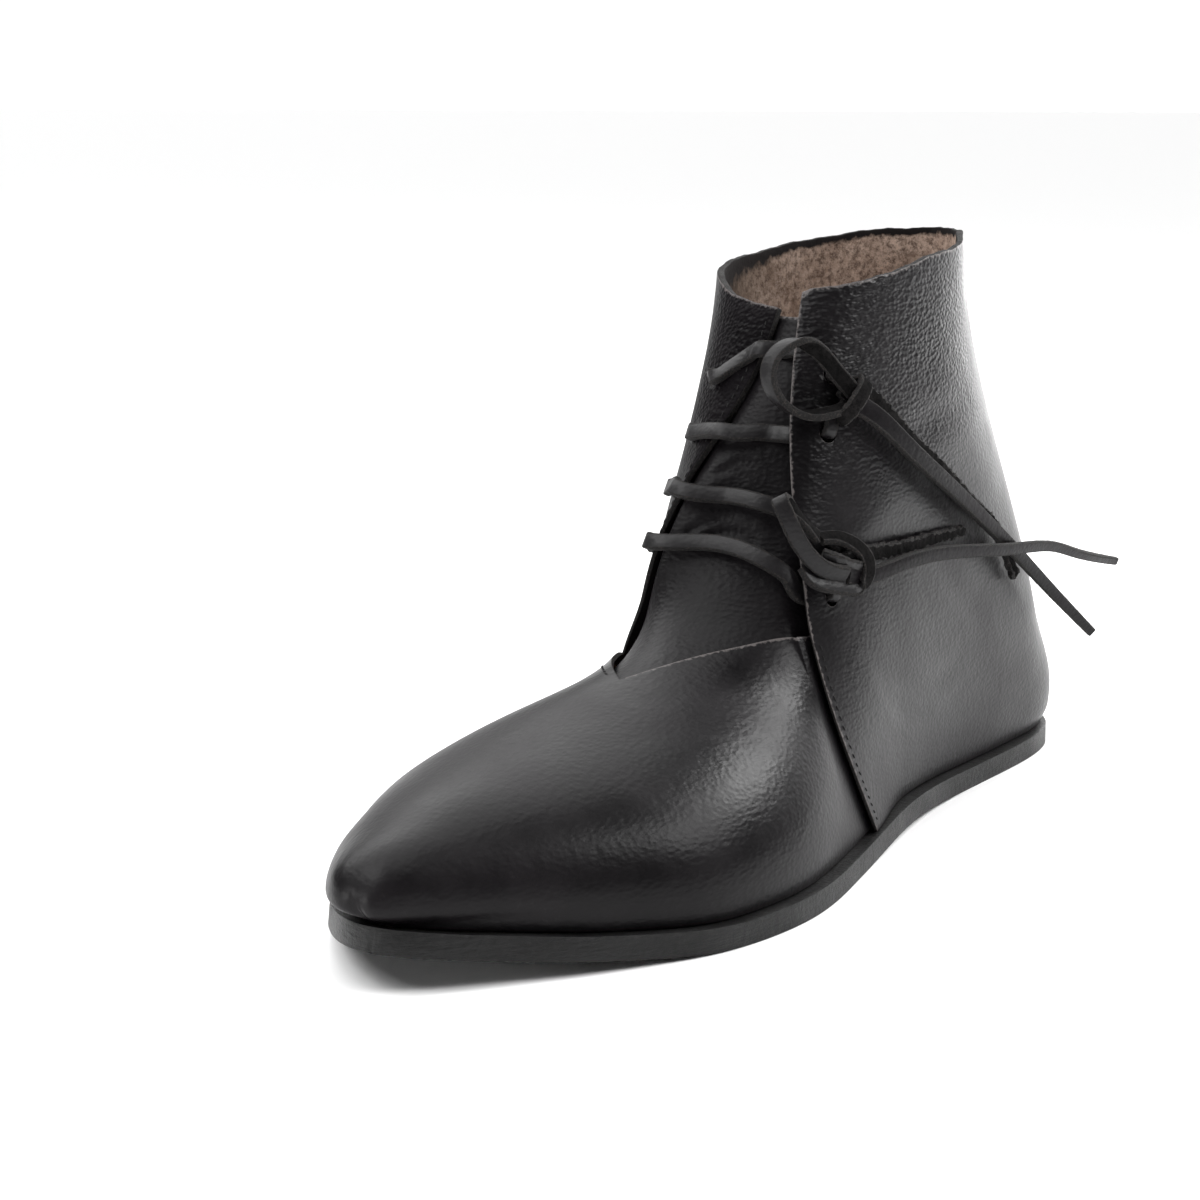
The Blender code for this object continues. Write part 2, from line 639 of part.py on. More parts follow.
def thong_faces(centre, across, widths):
    """Flat strap with chamfered edges along the centre line."""
    ahead = np.gradient(centre, axis=0)
    ahead /= np.linalg.norm(ahead, axis=1)[:, None]
    across = across - ahead * np.sum(across * ahead, axis=1)[:, None]
    across /= np.linalg.norm(across, axis=1)[:, None]
    facing = np.cross(ahead, across)
    half = LACE_THICKNESS / 2
    corners = []
    for turn_w, turn_t in ((1, 1), (-1, 1), (-1, -1), (1, -1)):
        full = (turn_w * (widths / 2), turn_t * (half - LACE_CHAMFER))
        slim = (turn_w * (widths / 2 - LACE_CHAMFER), turn_t * half)
        for w, t in ((full, slim) if turn_w == turn_t else (slim, full)):
            corners.append(centre + across * np.broadcast_to(w, widths.shape)[:, None] + facing * t)
    faces = []
    for k in range(len(corners)):
        faces += rim_faces(corners[k], corners[(k + 1) % len(corners)])
    faces.append([corner[0] for corner in corners])
    faces.append([corner[-1] for corner in corners])
    return faces


def crossing_faces(row):
    """One lace crossing: out of the inner hole, over the tongue, under the flap to the outer hole."""
    over = LACE_THICKNESS / 2 + LACE_GAP
    on_tongue = over + BAR_LIFT - LEATHER - TONGUE_GAP
    ridge_q = np.linspace(THROAT_Q, COLLAR_Q, SEARCH_SAMPLES)
    ridge_q = float(np.interp(row.ridge, wall(OUTER, ridge_q, np.ones_like(ridge_q))[:, 2], ridge_q))
    inner_q, _ = hole_place(INNER, row.inner_hole)
    outer_q, _ = hole_place(OUTER, row.outer_hole)
    inner_edge = row.ridge + BAR_EDGE_WEIGHT * (row.inner_hole - row.ridge)
    edge_v = share_at_height(INNER, FRONT_Q[INNER], inner_edge)
    gap = np.linalg.norm(wall(INNER, FRONT_Q[INNER], edge_v) - wall(INNER, ridge_q, 1.0))
    clear = min(BAR_CLEAR_MOST, EDGE_RUN / gap)
    top = over + BAR_LIFT
    stations = [(INNER, inner_q, row.inner_hole, top)]
    climb = ((0.0, top), (clear / 2, top), (clear, on_tongue + 2 * BAR_LIFT), (BAR_NEAR_RIDGE, on_tongue))
    for share, offset in climb:
        q = FRONT_Q[INNER] + (ridge_q - FRONT_Q[INNER]) * share
        stations.append((INNER, q, inner_edge + (row.ridge - inner_edge) * share, offset))
    stops = np.array([0.0, 1.0, 2.0])
    for stop in [share for share in BAR_STOPS if share < row.reach] + [row.reach]:
        q = float(np.interp(stop, stops, (ridge_q, FRONT_Q[OUTER], outer_q)))
        height = float(np.interp(stop, stops, (row.ridge, row.flap, row.outer_hole)))
        stations.append((OUTER, q, height, on_tongue))
    line = []
    for side, q, height, offset in stations:
        v = share_at_height(side, q, height)
        normal = wall_normal(side, q, v)
        line.append(np.concatenate([wall(side, q, v) + normal * offset, normal]))
    line = smooth_route(line, BAR_STEP)
    ahead = np.gradient(line[:, :3], axis=0)
    across = np.cross(line[:, 3:], ahead)
    return thong_faces(line[:, :3], across, np.full(len(line), LACE_WIDTH))


def add_knot(knot, material, collection):
    outward = Vector(knot.outward).normalized()
    long = Vector(knot.long)
    long = (long - outward * long.dot(outward)).normalized()
    cross = outward.cross(long)
    bpy.ops.mesh.primitive_uv_sphere_add(segments=KNOT_SEGMENTS, ring_count=KNOT_RINGS, radius=1.0)
    thing = bpy.context.object
    thing.name = knot.name
    axes = (outward * knot.half_out, long * knot.half_long, cross * knot.half_cross)
    for vertex in thing.data.vertices:
        spot = Vector(knot.middle)
        for axis, amount in zip(axes, vertex.co):
            spot = spot + axis * amount
        vertex.co = spot * MM
    thing.data.materials.append(material)
    for home in list(thing.users_collection):
        home.objects.unlink(thing)
    collection.objects.link(thing)


def principled(name, colour, roughness):
    material = bpy.data.materials.new(name)
    material.use_nodes = True
    shader = material.node_tree.nodes["Principled BSDF"]
    shader.inputs["Base Color"].default_value = colour
    shader.inputs["Roughness"].default_value = roughness
    return material


def main():
    for thing in list(bpy.data.objects):
        bpy.data.objects.remove(thing, do_unlink=True)
    boot = bpy.data.collections.new("renaissance_ankle_boot")
    bpy.context.scene.collection.children.link(boot)
    cutters = bpy.data.collections.new("cutters")
    bpy.context.scene.collection.children.link(cutters)

    sole_leather = principled("sole_leather", (0.03, 0.03, 0.032, 1), 0.8)
    insole_leather = principled("insole_leather", (0.25, 0.17, 0.11, 1), 0.9)
    upper_leather = principled("upper_leather", (0.035, 0.033, 0.036, 1), 0.5)
    tongue_leather = principled("tongue_leather", (0.03, 0.03, 0.03, 1), 0.6)
    lace_leather = principled("lace_leather", (0.04, 0.04, 0.042, 1), 0.55)

    plate("outsole", 0.0, 0.0, SOLE_THICKNESS, SOLE_EDGE_ROUND, sole_leather, boot)
    insole_inset = FEATHER_INSET + LEATHER + INSOLE_CLEARANCE
    insole_lift = SOLE_THICKNESS + SEAT_GAP
    plate("insole", insole_inset, insole_lift, INSOLE_THICKNESS, INSOLE_EDGE_ROUND, insole_leather, boot)
    upper = add_mesh("upper", upper_faces(OUTER) + upper_faces(INNER), upper_leather, boot)
    cut_holes(upper, cutters)
    add_mesh("tongue", tongue_faces(), tongue_leather, boot)
    for number, row in enumerate(CROSSINGS, 1):
        add_mesh(f"lace_bar_{number}", crossing_faces(row), lace_leather, boot)
    for knot in KNOTS:
        add_knot(knot, lace_leather, boot)
    for thong in THONGS:
        step = LACE_STEP if len(thong.route) < LOOP_POINTS else LACE_STEP / 2
        centre = smooth_route(thong.route, step)
        across = np.tile(thong.across, (len(centre), 1))
        widths = np.linspace(thong.start_width, thong.end_width, len(centre))
        add_mesh(thong.name, thong_faces(centre, across, widths), lace_leather, boot)


main()
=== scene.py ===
import math

import bpy
import numpy as np
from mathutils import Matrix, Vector


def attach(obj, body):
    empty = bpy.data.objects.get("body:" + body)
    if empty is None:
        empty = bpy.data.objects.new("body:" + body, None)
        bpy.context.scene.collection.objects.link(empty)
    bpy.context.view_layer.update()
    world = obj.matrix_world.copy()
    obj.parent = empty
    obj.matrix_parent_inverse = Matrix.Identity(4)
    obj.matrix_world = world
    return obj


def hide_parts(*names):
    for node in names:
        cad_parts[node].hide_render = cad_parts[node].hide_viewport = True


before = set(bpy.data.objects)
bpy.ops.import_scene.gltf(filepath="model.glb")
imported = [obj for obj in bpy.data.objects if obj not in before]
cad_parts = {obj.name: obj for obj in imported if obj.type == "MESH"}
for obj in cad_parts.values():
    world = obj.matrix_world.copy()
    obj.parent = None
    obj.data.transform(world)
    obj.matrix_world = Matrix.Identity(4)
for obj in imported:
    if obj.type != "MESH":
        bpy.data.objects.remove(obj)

mm = 0.001
outer, inner = 1, -1
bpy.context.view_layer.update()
print("frame:", len(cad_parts), "nodes")


# camera, floor and light

cameraSetup = {"place": (295.3, -557.4, 173.8), "aim": (-20.68, -32.84, 59.26), "lens": 80.65, "sensor": 36.0}
floorSetup = {"size": 60.0, "colour": (0.97, 0.97, 0.97, 1)}
skySetup = {"azimuth": 200, "dim": 0.10, "bright": 1.1, "from": 0.62, "full": 0.80, "low": 0.10, "high": 0.26}
sunSetup = {"azimuth": 240, "elevation": 58, "spread": 74, "strength": 3.3}
lampRows = (  # name, azimuth and elevation from the boot in degrees, distance, width, height, watts
    ("backLamp", 184, 16, 1.4, 0.7, 0.9, 7.0),
    ("sideLamp", 148, 36, 1.5, 0.6, 0.5, 14.0),
    ("shaftLamp", 108, 38, 1.5, 0.6, 0.5, 11.0),
    ("fillLamp", -40, 6, 1.6, 0.22, 0.22, 5.0),
    ("frontLamp", -35, 45, 1.6, 0.7, 0.7, 10.0),
    ("topLamp", 42, 70, 1.5, 0.8, 0.8, 4.5),
)


def setCamera(setup):
    place = Vector(setup["place"]) * mm
    aim = Vector(setup["aim"]) * mm
    bpy.ops.object.camera_add(location=place)
    camera = bpy.context.object
    camera.name = "camera"
    camera.rotation_euler = (aim - place).to_track_quat("-Z", "Y").to_euler()
    camera.data.lens = setup["lens"]
    camera.data.sensor_width = setup["sensor"]
    camera.data.clip_start = 0.02
    camera.data.dof.use_dof = False
    bpy.context.scene.camera = camera


def direction(azimuth, elevation):
    turn = math.radians(azimuth)
    rise = math.radians(elevation)
    return Vector((math.sin(turn) * math.cos(rise), -math.cos(turn) * math.cos(rise), math.sin(rise)))


def setSun(setup):
    toward = direction(setup["azimuth"], setup["elevation"])
    bpy.ops.object.light_add(type="SUN", location=toward * 2.0)
    sun = bpy.context.object
    sun.name = "softSun"
    sun.rotation_euler = toward.to_track_quat("Z", "Y").to_euler()
    sun.data.angle = math.radians(setup["spread"])
    sun.data.energy = setup["strength"]


def setLamps(rows):
    for name, azimuth, elevation, distance, width, height, watts in rows:
        toward = direction(azimuth, elevation)
        bpy.ops.object.light_add(type="AREA", location=toward * distance + Vector((0, 0, 0.06)))
        lamp = bpy.context.object
        lamp.name = name
        lamp.rotation_euler = toward.to_track_quat("Z", "Y").to_euler()
        lamp.data.shape = "RECTANGLE"
        lamp.data.size = width
        lamp.data.size_y = height
        lamp.data.energy = watts


def addNode(tree, kind, inputs=None, **settings):
    made = tree.nodes.new(kind)
    for key, value in settings.items():
        setattr(made, key, value)
    for key, value in (inputs or {}).items():
        if isinstance(value, bpy.types.NodeSocket):
            tree.links.new(value, made.inputs[key])
        else:
            made.inputs[key].default_value = value
    return made


def setSky(setup):
    world = bpy.data.worlds.new("studio")
    world.use_nodes = True
    tree = world.node_tree
    tree.nodes.clear()
    coords = addNode(tree, "ShaderNodeTexCoord")
    toward = direction(setup["azimuth"], 4.0)
    ways = {0: coords.outputs["Generated"], 1: toward}
    facing = addNode(tree, "ShaderNodeVectorMath", ways, operation="DOT_PRODUCT").outputs["Value"]
    limits = {0: facing, 1: setup["from"], 2: setup["full"], 3: setup["dim"], 4: setup["bright"]}
    behind = addNode(tree, "ShaderNodeMapRange", limits, interpolation_type="SMOOTHSTEP").outputs[0]
    height = addNode(tree, "ShaderNodeSeparateXYZ", {0: coords.outputs["Generated"]}).outputs["Z"]
    rise = {0: height, 1: setup["low"], 2: setup["high"], 3: 0.0, 4: 1.0}
    level = addNode(tree, "ShaderNodeMapRange", rise).outputs[0]
    strength = addNode(tree, "ShaderNodeMix", {0: level, 2: behind, 3: setup["dim"]}, data_type="FLOAT")
    sky = addNode(tree, "ShaderNodeBackground", {"Strength": strength.outputs[0]})
    sky.inputs["Color"].default_value = (1.0, 1.0, 1.0, 1)
    out = addNode(tree, "ShaderNodeOutputWorld")
    tree.links.new(sky.outputs[0], out.inputs[0])
    bpy.context.scene.world = world


def setFloor(setup):
    bpy.ops.mesh.primitive_plane_add(size=setup["size"], location=(0, 0, 0))
    floor = bpy.context.object
    floor.name = "floor"
    material = bpy.data.materials.new("paleFloor")
    material.use_nodes = True
    shader = material.node_tree.nodes["Principled BSDF"]
    shader.inputs["Base Color"].default_value = setup["colour"]
    shader.inputs["Roughness"].default_value = 0.75
    shader.inputs["Specular IOR Level"].default_value = 0.2
    floor.data.materials.append(material)


bpy.ops.object.select_all(action="DESELECT")
setCamera(cameraSetup)
setSun(sunSetup)
setLamps(lampRows)
setSky(skySetup)
setFloor(floorSetup)
bpy.context.scene.view_settings.view_transform = "Standard"
print("stage set")


# materials

def startMaterial(name):
    material = bpy.data.materials.new(name)
    material.use_nodes = True
    tree = material.node_tree
    return material, tree, tree.nodes["Principled BSDF"]


def mixColour(tree, share, first, second):
    mix = addNode(tree, "ShaderNodeMix", data_type="RGBA")
    for place, value in ((0, share), (6, first), (7, second)):
        if isinstance(value, bpy.types.NodeSocket):
            tree.links.new(value, mix.inputs[place])
        else:
            mix.inputs[place].default_value = value
    return mix.outputs[2]


def blend(tree, operation, first, second):
    made = addNode(tree, "ShaderNodeMath", operation=operation)
    for place, value in enumerate((first, second)):
        if isinstance(value, bpy.types.NodeSocket):
            tree.links.new(value, made.inputs[place])
        else:
            made.inputs[place].default_value = value
    return made.outputs[0]


def spread(tree, value, low, high, toLow, toHigh):
    made = addNode(tree, "ShaderNodeMapRange", {0: value, 1: low, 2: high, 3: toLow, 4: toHigh})
    return made.outputs[0]


def noise(tree, vector, scale, detail=3.0, roughness=0.55, distortion=0.0):
    inputs = {"Vector": vector, "Scale": scale, "Detail": detail}
    inputs.update({"Roughness": roughness, "Distortion": distortion})
    return addNode(tree, "ShaderNodeTexNoise", inputs).outputs[0]


def stretched(tree, vector, scale):
    return addNode(tree, "ShaderNodeMapping", {"Vector": vector, "Scale": scale}).outputs[0]


def pointValue(tree, name):
    return addNode(tree, "ShaderNodeAttribute", attribute_name=name).outputs["Fac"]


grainLook = {
    "dark": (0.0034, 0.0029, 0.0034, 1), "light": (0.0080, 0.0068, 0.0078, 1),
    "dust": (0.032, 0.028, 0.030, 1), "cut": (0.10, 0.09, 0.088, 1),
}


def makeGrainLeather(name, look, gloss, sheen):
    material, tree, shader = startMaterial(name)
    place = addNode(tree, "ShaderNodeTexCoord").outputs["Object"]
    patches = noise(tree, place, 45.0, 4.0)
    tone = mixColour(tree, spread(tree, patches, 0.35, 0.65, 0.0, 1.0), look["dark"], look["light"])
    scuffs = noise(tree, stretched(tree, place, (1.0, 0.35, 1.0)), 420.0, 5.0, 0.7)
    scuffed = spread(tree, scuffs, 0.60, 0.78, 0.0, 1.0)
    worn = blend(tree, "MULTIPLY", scuffed, spread(tree, patches, 0.45, 0.7, 0.0, 0.6))
    tone = mixColour(tree, worn, tone, look["dust"])
    ragged = spread(tree, noise(tree, place, 900.0, 2.0), 0.3, 0.7, -0.4, 0.5)
    fray = blend(tree, "ADD", pointValue(tree, "rim"), ragged)
    tone = mixColour(tree, spread(tree, fray, 0.25, 0.75, 1.0, 0.0), tone, look["cut"])
    tree.links.new(tone, shader.inputs["Base Color"])
    cells = {"Vector": stretched(tree, place, (0.6, 0.6, 1.0)), "Scale": 1150.0, "Smoothness": 0.5}
    pores = addNode(tree, "ShaderNodeTexVoronoi", cells, feature="SMOOTH_F1")
    pebble = noise(tree, place, 520.0, 2.0)
    streaks = noise(tree, stretched(tree, place, (1.0, 0.16, 1.0)), 700.0, 2.0)
    bands = {"Vector": place, "Scale": 205.0, "Distortion": 5.5, "Detail": 3.0, "Detail Scale": 1.8}
    waves = addNode(tree, "ShaderNodeTexWave", bands, bands_direction="Z").outputs["Fac"]
    waves = blend(tree, "MULTIPLY", waves, spread(tree, noise(tree, place, 95.0, 2.0), 0.35, 0.65, 0.15, 1.0))
    ripple = pointValue(tree, "ripple")
    swell = blend(tree, "MULTIPLY", waves, ripple)
    fine = blend(tree, "MULTIPLY", pores.outputs["Distance"], spread(tree, ripple, 0.0, 1.0, 0.14, 1.10))
    fine = blend(tree, "ADD", fine, blend(tree, "MULTIPLY", pebble, 0.22))
    fine = blend(tree, "ADD", fine, blend(tree, "MULTIPLY", streaks, 0.20))
    height = blend(tree, "ADD", fine, blend(tree, "MULTIPLY", swell, 0.30))
    bump = addNode(tree, "ShaderNodeBump", {"Strength": 0.55, "Distance": 0.0005, "Height": height})
    tree.links.new(bump.outputs[0], shader.inputs["Normal"])
    tree.links.new(spread(tree, patches, 0.3, 0.7, gloss - 0.05, gloss + 0.07), shader.inputs["Roughness"])
    shine = spread(tree, pointValue(tree, "dull"), 0.0, 1.0, sheen, 0.1 * sheen)
    tree.links.new(shine, shader.inputs["Specular IOR Level"])
    return material


# the deep tone is painted shade, mixed into the flesh side where the shade attribute is set
fleshLook = {
    "dark": (0.34, 0.24, 0.185, 1), "light": (0.74, 0.57, 0.47, 1), "speck": (0.085, 0.055, 0.042, 1),
    "stain": (0.012, 0.010, 0.010, 1), "paintedShadeTone": (0.040, 0.027, 0.018, 1), "shine": 0.15,
}


def makeFlesh(name, look, stainReach):
    material, tree, shader = startMaterial(name)
    place = addNode(tree, "ShaderNodeTexCoord").outputs["Object"]
    mottle = noise(tree, place, 85.0, 8.0, 0.75)
    tone = mixColour(tree, spread(tree, mottle, 0.36, 0.64, 0.0, 1.0), look["dark"], look["light"])
    nap = noise(tree, place, 1200.0, 3.0, 0.7)
    specks = noise(tree, place, 560.0, 6.0, 0.85)
    tone = mixColour(tree, spread(tree, specks, 0.40, 0.56, 0.85, 0.0), tone, look["speck"])
    # painted shade: the flesh side is darkened toward a deep brown here, standing in for the shade inside the
    # collar
    tone = mixColour(tree, pointValue(tree, "paintedShade"), tone, look["paintedShadeTone"])
    ragged = spread(tree, noise(tree, place, 380.0, 4.0), 0.3, 0.7, 1.2, -1.2)
    reach = blend(tree, "ADD", pointValue(tree, "margin"), ragged)
    stain = spread(tree, reach, stainReach * 0.6, stainReach, 1.0, 0.0)
    tree.links.new(mixColour(tree, stain, tone, look["stain"]), shader.inputs["Base Color"])
    height = blend(tree, "ADD", blend(tree, "MULTIPLY", nap, 0.6), noise(tree, place, 500.0, 3.0))
    bump = addNode(tree, "ShaderNodeBump", {"Strength": 0.5, "Distance": 0.0004, "Height": height})
    tree.links.new(bump.outputs[0], shader.inputs["Normal"])
    shader.inputs["Roughness"].default_value = 0.92
    shader.inputs["Specular IOR Level"].default_value = look["shine"]
    return material


edgeLook = {"dark": (0.007, 0.0065, 0.0065, 1), "fibre": (0.045, 0.036, 0.032, 1)}


def makeRawEdge(name, look):
    material, tree, shader = startMaterial(name)
    place = addNode(tree, "ShaderNodeTexCoord").outputs["Object"]
    fibres = noise(tree, place, 2200.0, 4.0, 0.7)
    tone = mixColour(tree, spread(tree, fibres, 0.5, 0.75, 0.0, 1.0), look["dark"], look["fibre"])
    tree.links.new(tone, shader.inputs["Base Color"])
    bump = addNode(tree, "ShaderNodeBump", {"Strength": 0.8, "Distance": 0.0004, "Height": fibres})
    tree.links.new(bump.outputs[0], shader.inputs["Normal"])
    shader.inputs["Roughness"].default_value = 0.85
    shader.inputs["Specular IOR Level"].default_value = 0.3
    return material


soleLook = {"dark": (0.0026, 0.0025, 0.0026, 1), "worn": (0.010, 0.0094, 0.0092, 1)}


def makeSoleLeather(name, look):
    material, tree, shader = startMaterial(name)
    place = addNode(tree, "ShaderNodeTexCoord").outputs["Object"]
    layers = noise(tree, stretched(tree, place, (0.12, 0.12, 1.0)), 1100.0, 4.0, 0.65)
    pits = noise(tree, place, 700.0, 5.0, 0.65)
    patches = noise(tree, place, 55.0, 4.0)
    pitted = spread(tree, pits, 0.45, 0.75, 0.0, 1.0)
    share = blend(tree, "MULTIPLY", pitted, spread(tree, patches, 0.35, 0.65, 0.15, 0.9))
    tree.links.new(mixColour(tree, share, look["dark"], look["worn"]), shader.inputs["Base Color"])
    height = blend(tree, "ADD", layers, blend(tree, "MULTIPLY", pits, 0.8))
    bump = addNode(tree, "ShaderNodeBump", {"Strength": 0.6, "Distance": 0.0006, "Height": height})
    tree.links.new(bump.outputs[0], shader.inputs["Normal"])
    tree.links.new(spread(tree, patches, 0.3, 0.7, 0.38, 0.58), shader.inputs["Roughness"])
    shader.inputs["Specular IOR Level"].default_value = 0.32
    return material


grainLeather = makeGrainLeather("grainLeather", grainLook, 0.36, 0.14)
tongueGrain = makeGrainLeather("tongueGrain", grainLook, 0.44, 0.12)
thongGrain = makeGrainLeather("thongGrain", grainLook, 0.44, 0.30)
fleshSide = makeFlesh("fleshSide", fleshLook, 4.5)
insoleFlesh = makeFlesh("insoleFlesh", fleshLook, 0.0)
thongBack = {
    "dark": (0.004, 0.0038, 0.0038, 1), "light": (0.014, 0.013, 0.013, 1), "speck": (0.003, 0.003, 0.003, 1),
    "stain": (0.003, 0.003, 0.003, 1), "paintedShadeTone": (0.003, 0.003, 0.003, 1), "shine": 0.04,
}
thongFlesh = makeFlesh("thongFlesh", thongBack, 0.0)
rawEdge = makeRawEdge("rawEdge", edgeLook)
soleLeather = makeSoleLeather("soleLeather", soleLook)
threadWax = makeRawEdge("threadWax", {"dark": (0.006, 0.006, 0.006, 1), "fibre": (0.02, 0.018, 0.017, 1)})
print("materials made")


# the last: the same foot form as the solids, in millimetres

lastSizes = {
    "soleLength": 290.0, "ballWidth": 95.0, "instepHeight": 47.5, "backHeight": 139.5, "toeSpring": 8.0,
    "archLift": 1.2, "soleThickness": 5.2, "featherInset": 3.2, "seatGap": 0.3, "leather": 2.0,
}
soleRows = (  # share of the length from the heel, half widths outer and inner as shares of the ball width
    (0.000, 0.000, 0.000), (0.050, 0.255, 0.250), (0.120, 0.336, 0.332), (0.200, 0.346, 0.338),
    (0.300, 0.340, 0.296), (0.400, 0.360, 0.258), (0.500, 0.406, 0.274), (0.600, 0.463, 0.362),
    (0.700, 0.500, 0.468), (0.800, 0.448, 0.496), (0.850, 0.366, 0.460), (0.900, 0.262, 0.388),
    (0.950, 0.136, 0.276), (1.000, -0.053, 0.053),
)
archSpan = (0.26, 0.58)
springFrom, springPower = 0.78, 1.6
sectionColumns = ("along", "topAlong", "side", "height", "lean", "low", "sweep", "high", "turn", "fall")
ridgeRows = (  # ridge from the toe over the instep to the collar, height as a share of the instep height
    (0.989, 0.989, -0.053, 0.29, 24, 0.55, 0.00, 0.60, 0, 0.0),
    (0.978, 0.978, -0.053, 0.52, 22, 0.56, 0.00, 0.64, 0, 0.0),
    (0.952, 0.952, -0.048, 0.63, 18, 0.56, 0.00, 0.64, 0, 0.0),
    (0.897, 0.897, -0.036, 0.73, 15, 0.56, 0.00, 0.62, 0, 0.0),
    (0.810, 0.810, -0.020, 0.84, 13, 0.56, 0.00, 0.60, 0, 0.0),
    (0.703, 0.703, 0.000, 1.00, 12, 0.52, 0.00, 0.56, 0, 0.0),
    (0.648, 0.633, 0.010, 1.13, 11, 0.46, 0.02, 0.53, 0, 0.40),
    (0.606, 0.582, 0.020, 1.36, 10, 0.37, 0.06, 0.45, 4, 0.60),
    (0.579, 0.548, 0.026, 1.73, 9, 0.30, 0.11, 0.33, 22, 0.60),
    (0.560, 0.517, 0.030, 2.15, 7, 0.27, 0.16, 0.35, 48, 0.55),
    (0.545, 0.469, 0.032, 2.63, 5, 0.26, 0.20, 0.42, 65, 0.45),
)
collarRows = {  # collar from its front round to the back, height as a share of the back height
    outer: (
        (0.522, 0.472, 0.115, 0.917, 4, 0.26, 0.22, 0.52, 86, 0.42),
        (0.462, 0.447, 0.225, 0.943, 6, 0.28, 0.12, 0.42, 90, 0.25),
        (0.368, 0.376, 0.290, 0.972, 9, 0.30, 0.04, 0.36, 90, 0.08),
        (0.250, 0.281, 0.269, 0.989, 11, 0.32, 0.00, 0.34, 90, 0.00),
        (0.140, 0.204, 0.174, 0.997, 12, 0.33, 0.00, 0.34, 90, 0.00),
        (0.056, 0.137, 0.076, 1.000, 13, 0.24, 0.00, 0.34, 90, -0.01),
        (0.011, 0.110, -0.042, 1.000, 15, 0.33, 0.00, 0.34, 90, -0.06),
    ),
    inner: (
        (0.520, 0.452, -0.070, 0.903, 8, 0.26, 0.15, 0.50, 80, 0.42),
        (0.455, 0.405, -0.235, 0.926, 8, 0.28, 0.08, 0.42, 90, 0.25),
        (0.360, 0.325, -0.365, 0.945, 9, 0.30, 0.03, 0.36, 90, 0.08),
        (0.245, 0.238, -0.385, 0.962, 11, 0.32, 0.00, 0.34, 90, 0.00),
        (0.138, 0.168, -0.300, 0.983, 13, 0.33, 0.00, 0.34, 90, -0.04),
        (0.056, 0.124, -0.175, 0.996, 14, 0.33, 0.00, 0.34, 90, -0.06),
        (0.011, 0.110, -0.042, 1.000, 15, 0.33, 0.00, 0.34, 90, -0.06),
    ),
}
throatRows = {  # way back, distance from the ridge
    outer: ((0.00, 0.0), (0.25, 9.6), (0.50, 18.0), (0.67, 21.4), (1.00, 22.5)),
    inner: ((0.00, 0.0), (0.08, 4.2), (0.25, 11.2), (0.50, 18.8), (0.75, 22.0), (1.00, 22.5)),
}


def curveThrough(knots, values, at):
    knots = np.asarray(knots, float)
    values = np.asarray(values, float)
    at = np.asarray(at, float)
    count = len(knots)
    gaps = np.diff(knots)
    rises = np.diff(values) / gaps
    system = np.eye(count)
    right = np.zeros(count)
    for i in range(1, count - 1):
        system[i, i - 1 : i + 2] = gaps[i - 1], 2 * (gaps[i - 1] + gaps[i]), gaps[i]
        right[i] = 6 * (rises[i] - rises[i - 1])
    bend = np.linalg.solve(system, right)
    i = np.clip(np.searchsorted(knots, at) - 1, 0, count - 2)
    after = at - knots[i]
    before = knots[i + 1] - at
    cubic = (bend[i] * before**3 + bend[i + 1] * after**3) / (6 * gaps[i])
    line = (values[i] / gaps[i] - bend[i] * gaps[i] / 6) * before
    return cubic + line + (values[i + 1] / gaps[i] - bend[i + 1] * gaps[i] / 6) * after


def ease(share):
    share = np.clip(share, 0.0, 1.0)
    return share * share * (3 - 2 * share)


def unit(vectors):
    return vectors / np.maximum(np.linalg.norm(vectors, axis=-1, keepdims=True), 1e-12)


def runLengths(points):
    return np.concatenate([[0.0], np.cumsum(np.linalg.norm(np.diff(points, axis=0), axis=1))])


def alongLine(places, runs, values):
    return np.column_stack([np.interp(places, runs, values[:, k]) for k in range(3)])


def lengthY(along):
    return lastSizes["soleLength"] * (0.5 - np.asarray(along, float))


def soleBottom(y):
    along = 0.5 - y / lastSizes["soleLength"]
    spring = lastSizes["toeSpring"] * np.clip((along - springFrom) / (1 - springFrom), 0, 1) ** springPower
    waist = np.clip((along - archSpan[0]) / (archSpan[1] - archSpan[0]), 0, 1)
    return spring + lastSizes["archLift"] * np.sin(math.pi * waist) ** 2


def outlineSides(inset):
    width = lastSizes["ballWidth"]
    outerLine = [(row[1] * width, lengthY(row[0])) for row in soleRows]
    innerLine = [(-row[2] * width, lengthY(row[0])) for row in soleRows[1:-1]]
    ring = np.array(outerLine + innerLine[::-1])
    wrapped = np.vstack([ring, ring, ring, ring[:1]])
    steps = np.linalg.norm(np.diff(wrapped, axis=0), axis=1)
    knots = np.concatenate([[0.0], np.cumsum(np.sqrt(steps))])
    span = knots[len(ring)]
    places = np.linspace(span, 2 * span, 1600, endpoint=False)
    points = np.column_stack([curveThrough(knots, wrapped[:, k], places) for k in (0, 1)])
    tangents = np.roll(points, -1, axis=0) - np.roll(points, 1, axis=0)
    normals = unit(np.column_stack([-tangents[:, 1], tangents[:, 0]]))
    normals *= -1 if normals[np.argmax(points[:, 0]), 0] < 0 else 1
    points = points - normals * inset
    heel = int(np.argmax(points[:, 1]))
    points = np.roll(points, -heel, axis=0)
    normals = np.roll(normals, -heel, axis=0)
    toe = int(np.argmin(points[:, 1]))
    orders = {outer: np.arange(toe, -1, -1), inner: np.append(np.arange(toe, len(points)), 0)}
    sides = {}
    for side, order in orders.items():
        line = points[order]
        arcs = runLengths(line)
        sides[side] = (arcs / arcs[-1], line, normals[order])
    return sides


featherLine = outlineSides(lastSizes["featherInset"])


def featherArcs(side):
    arcs, line, _ = featherLine[side]
    places = np.interp([float(lengthY(row[0])) for row in ridgeRows + collarRows[side]], line[:, 1], arcs)
    places[0] = 0.0
    places[-1] = 1.0
    return places


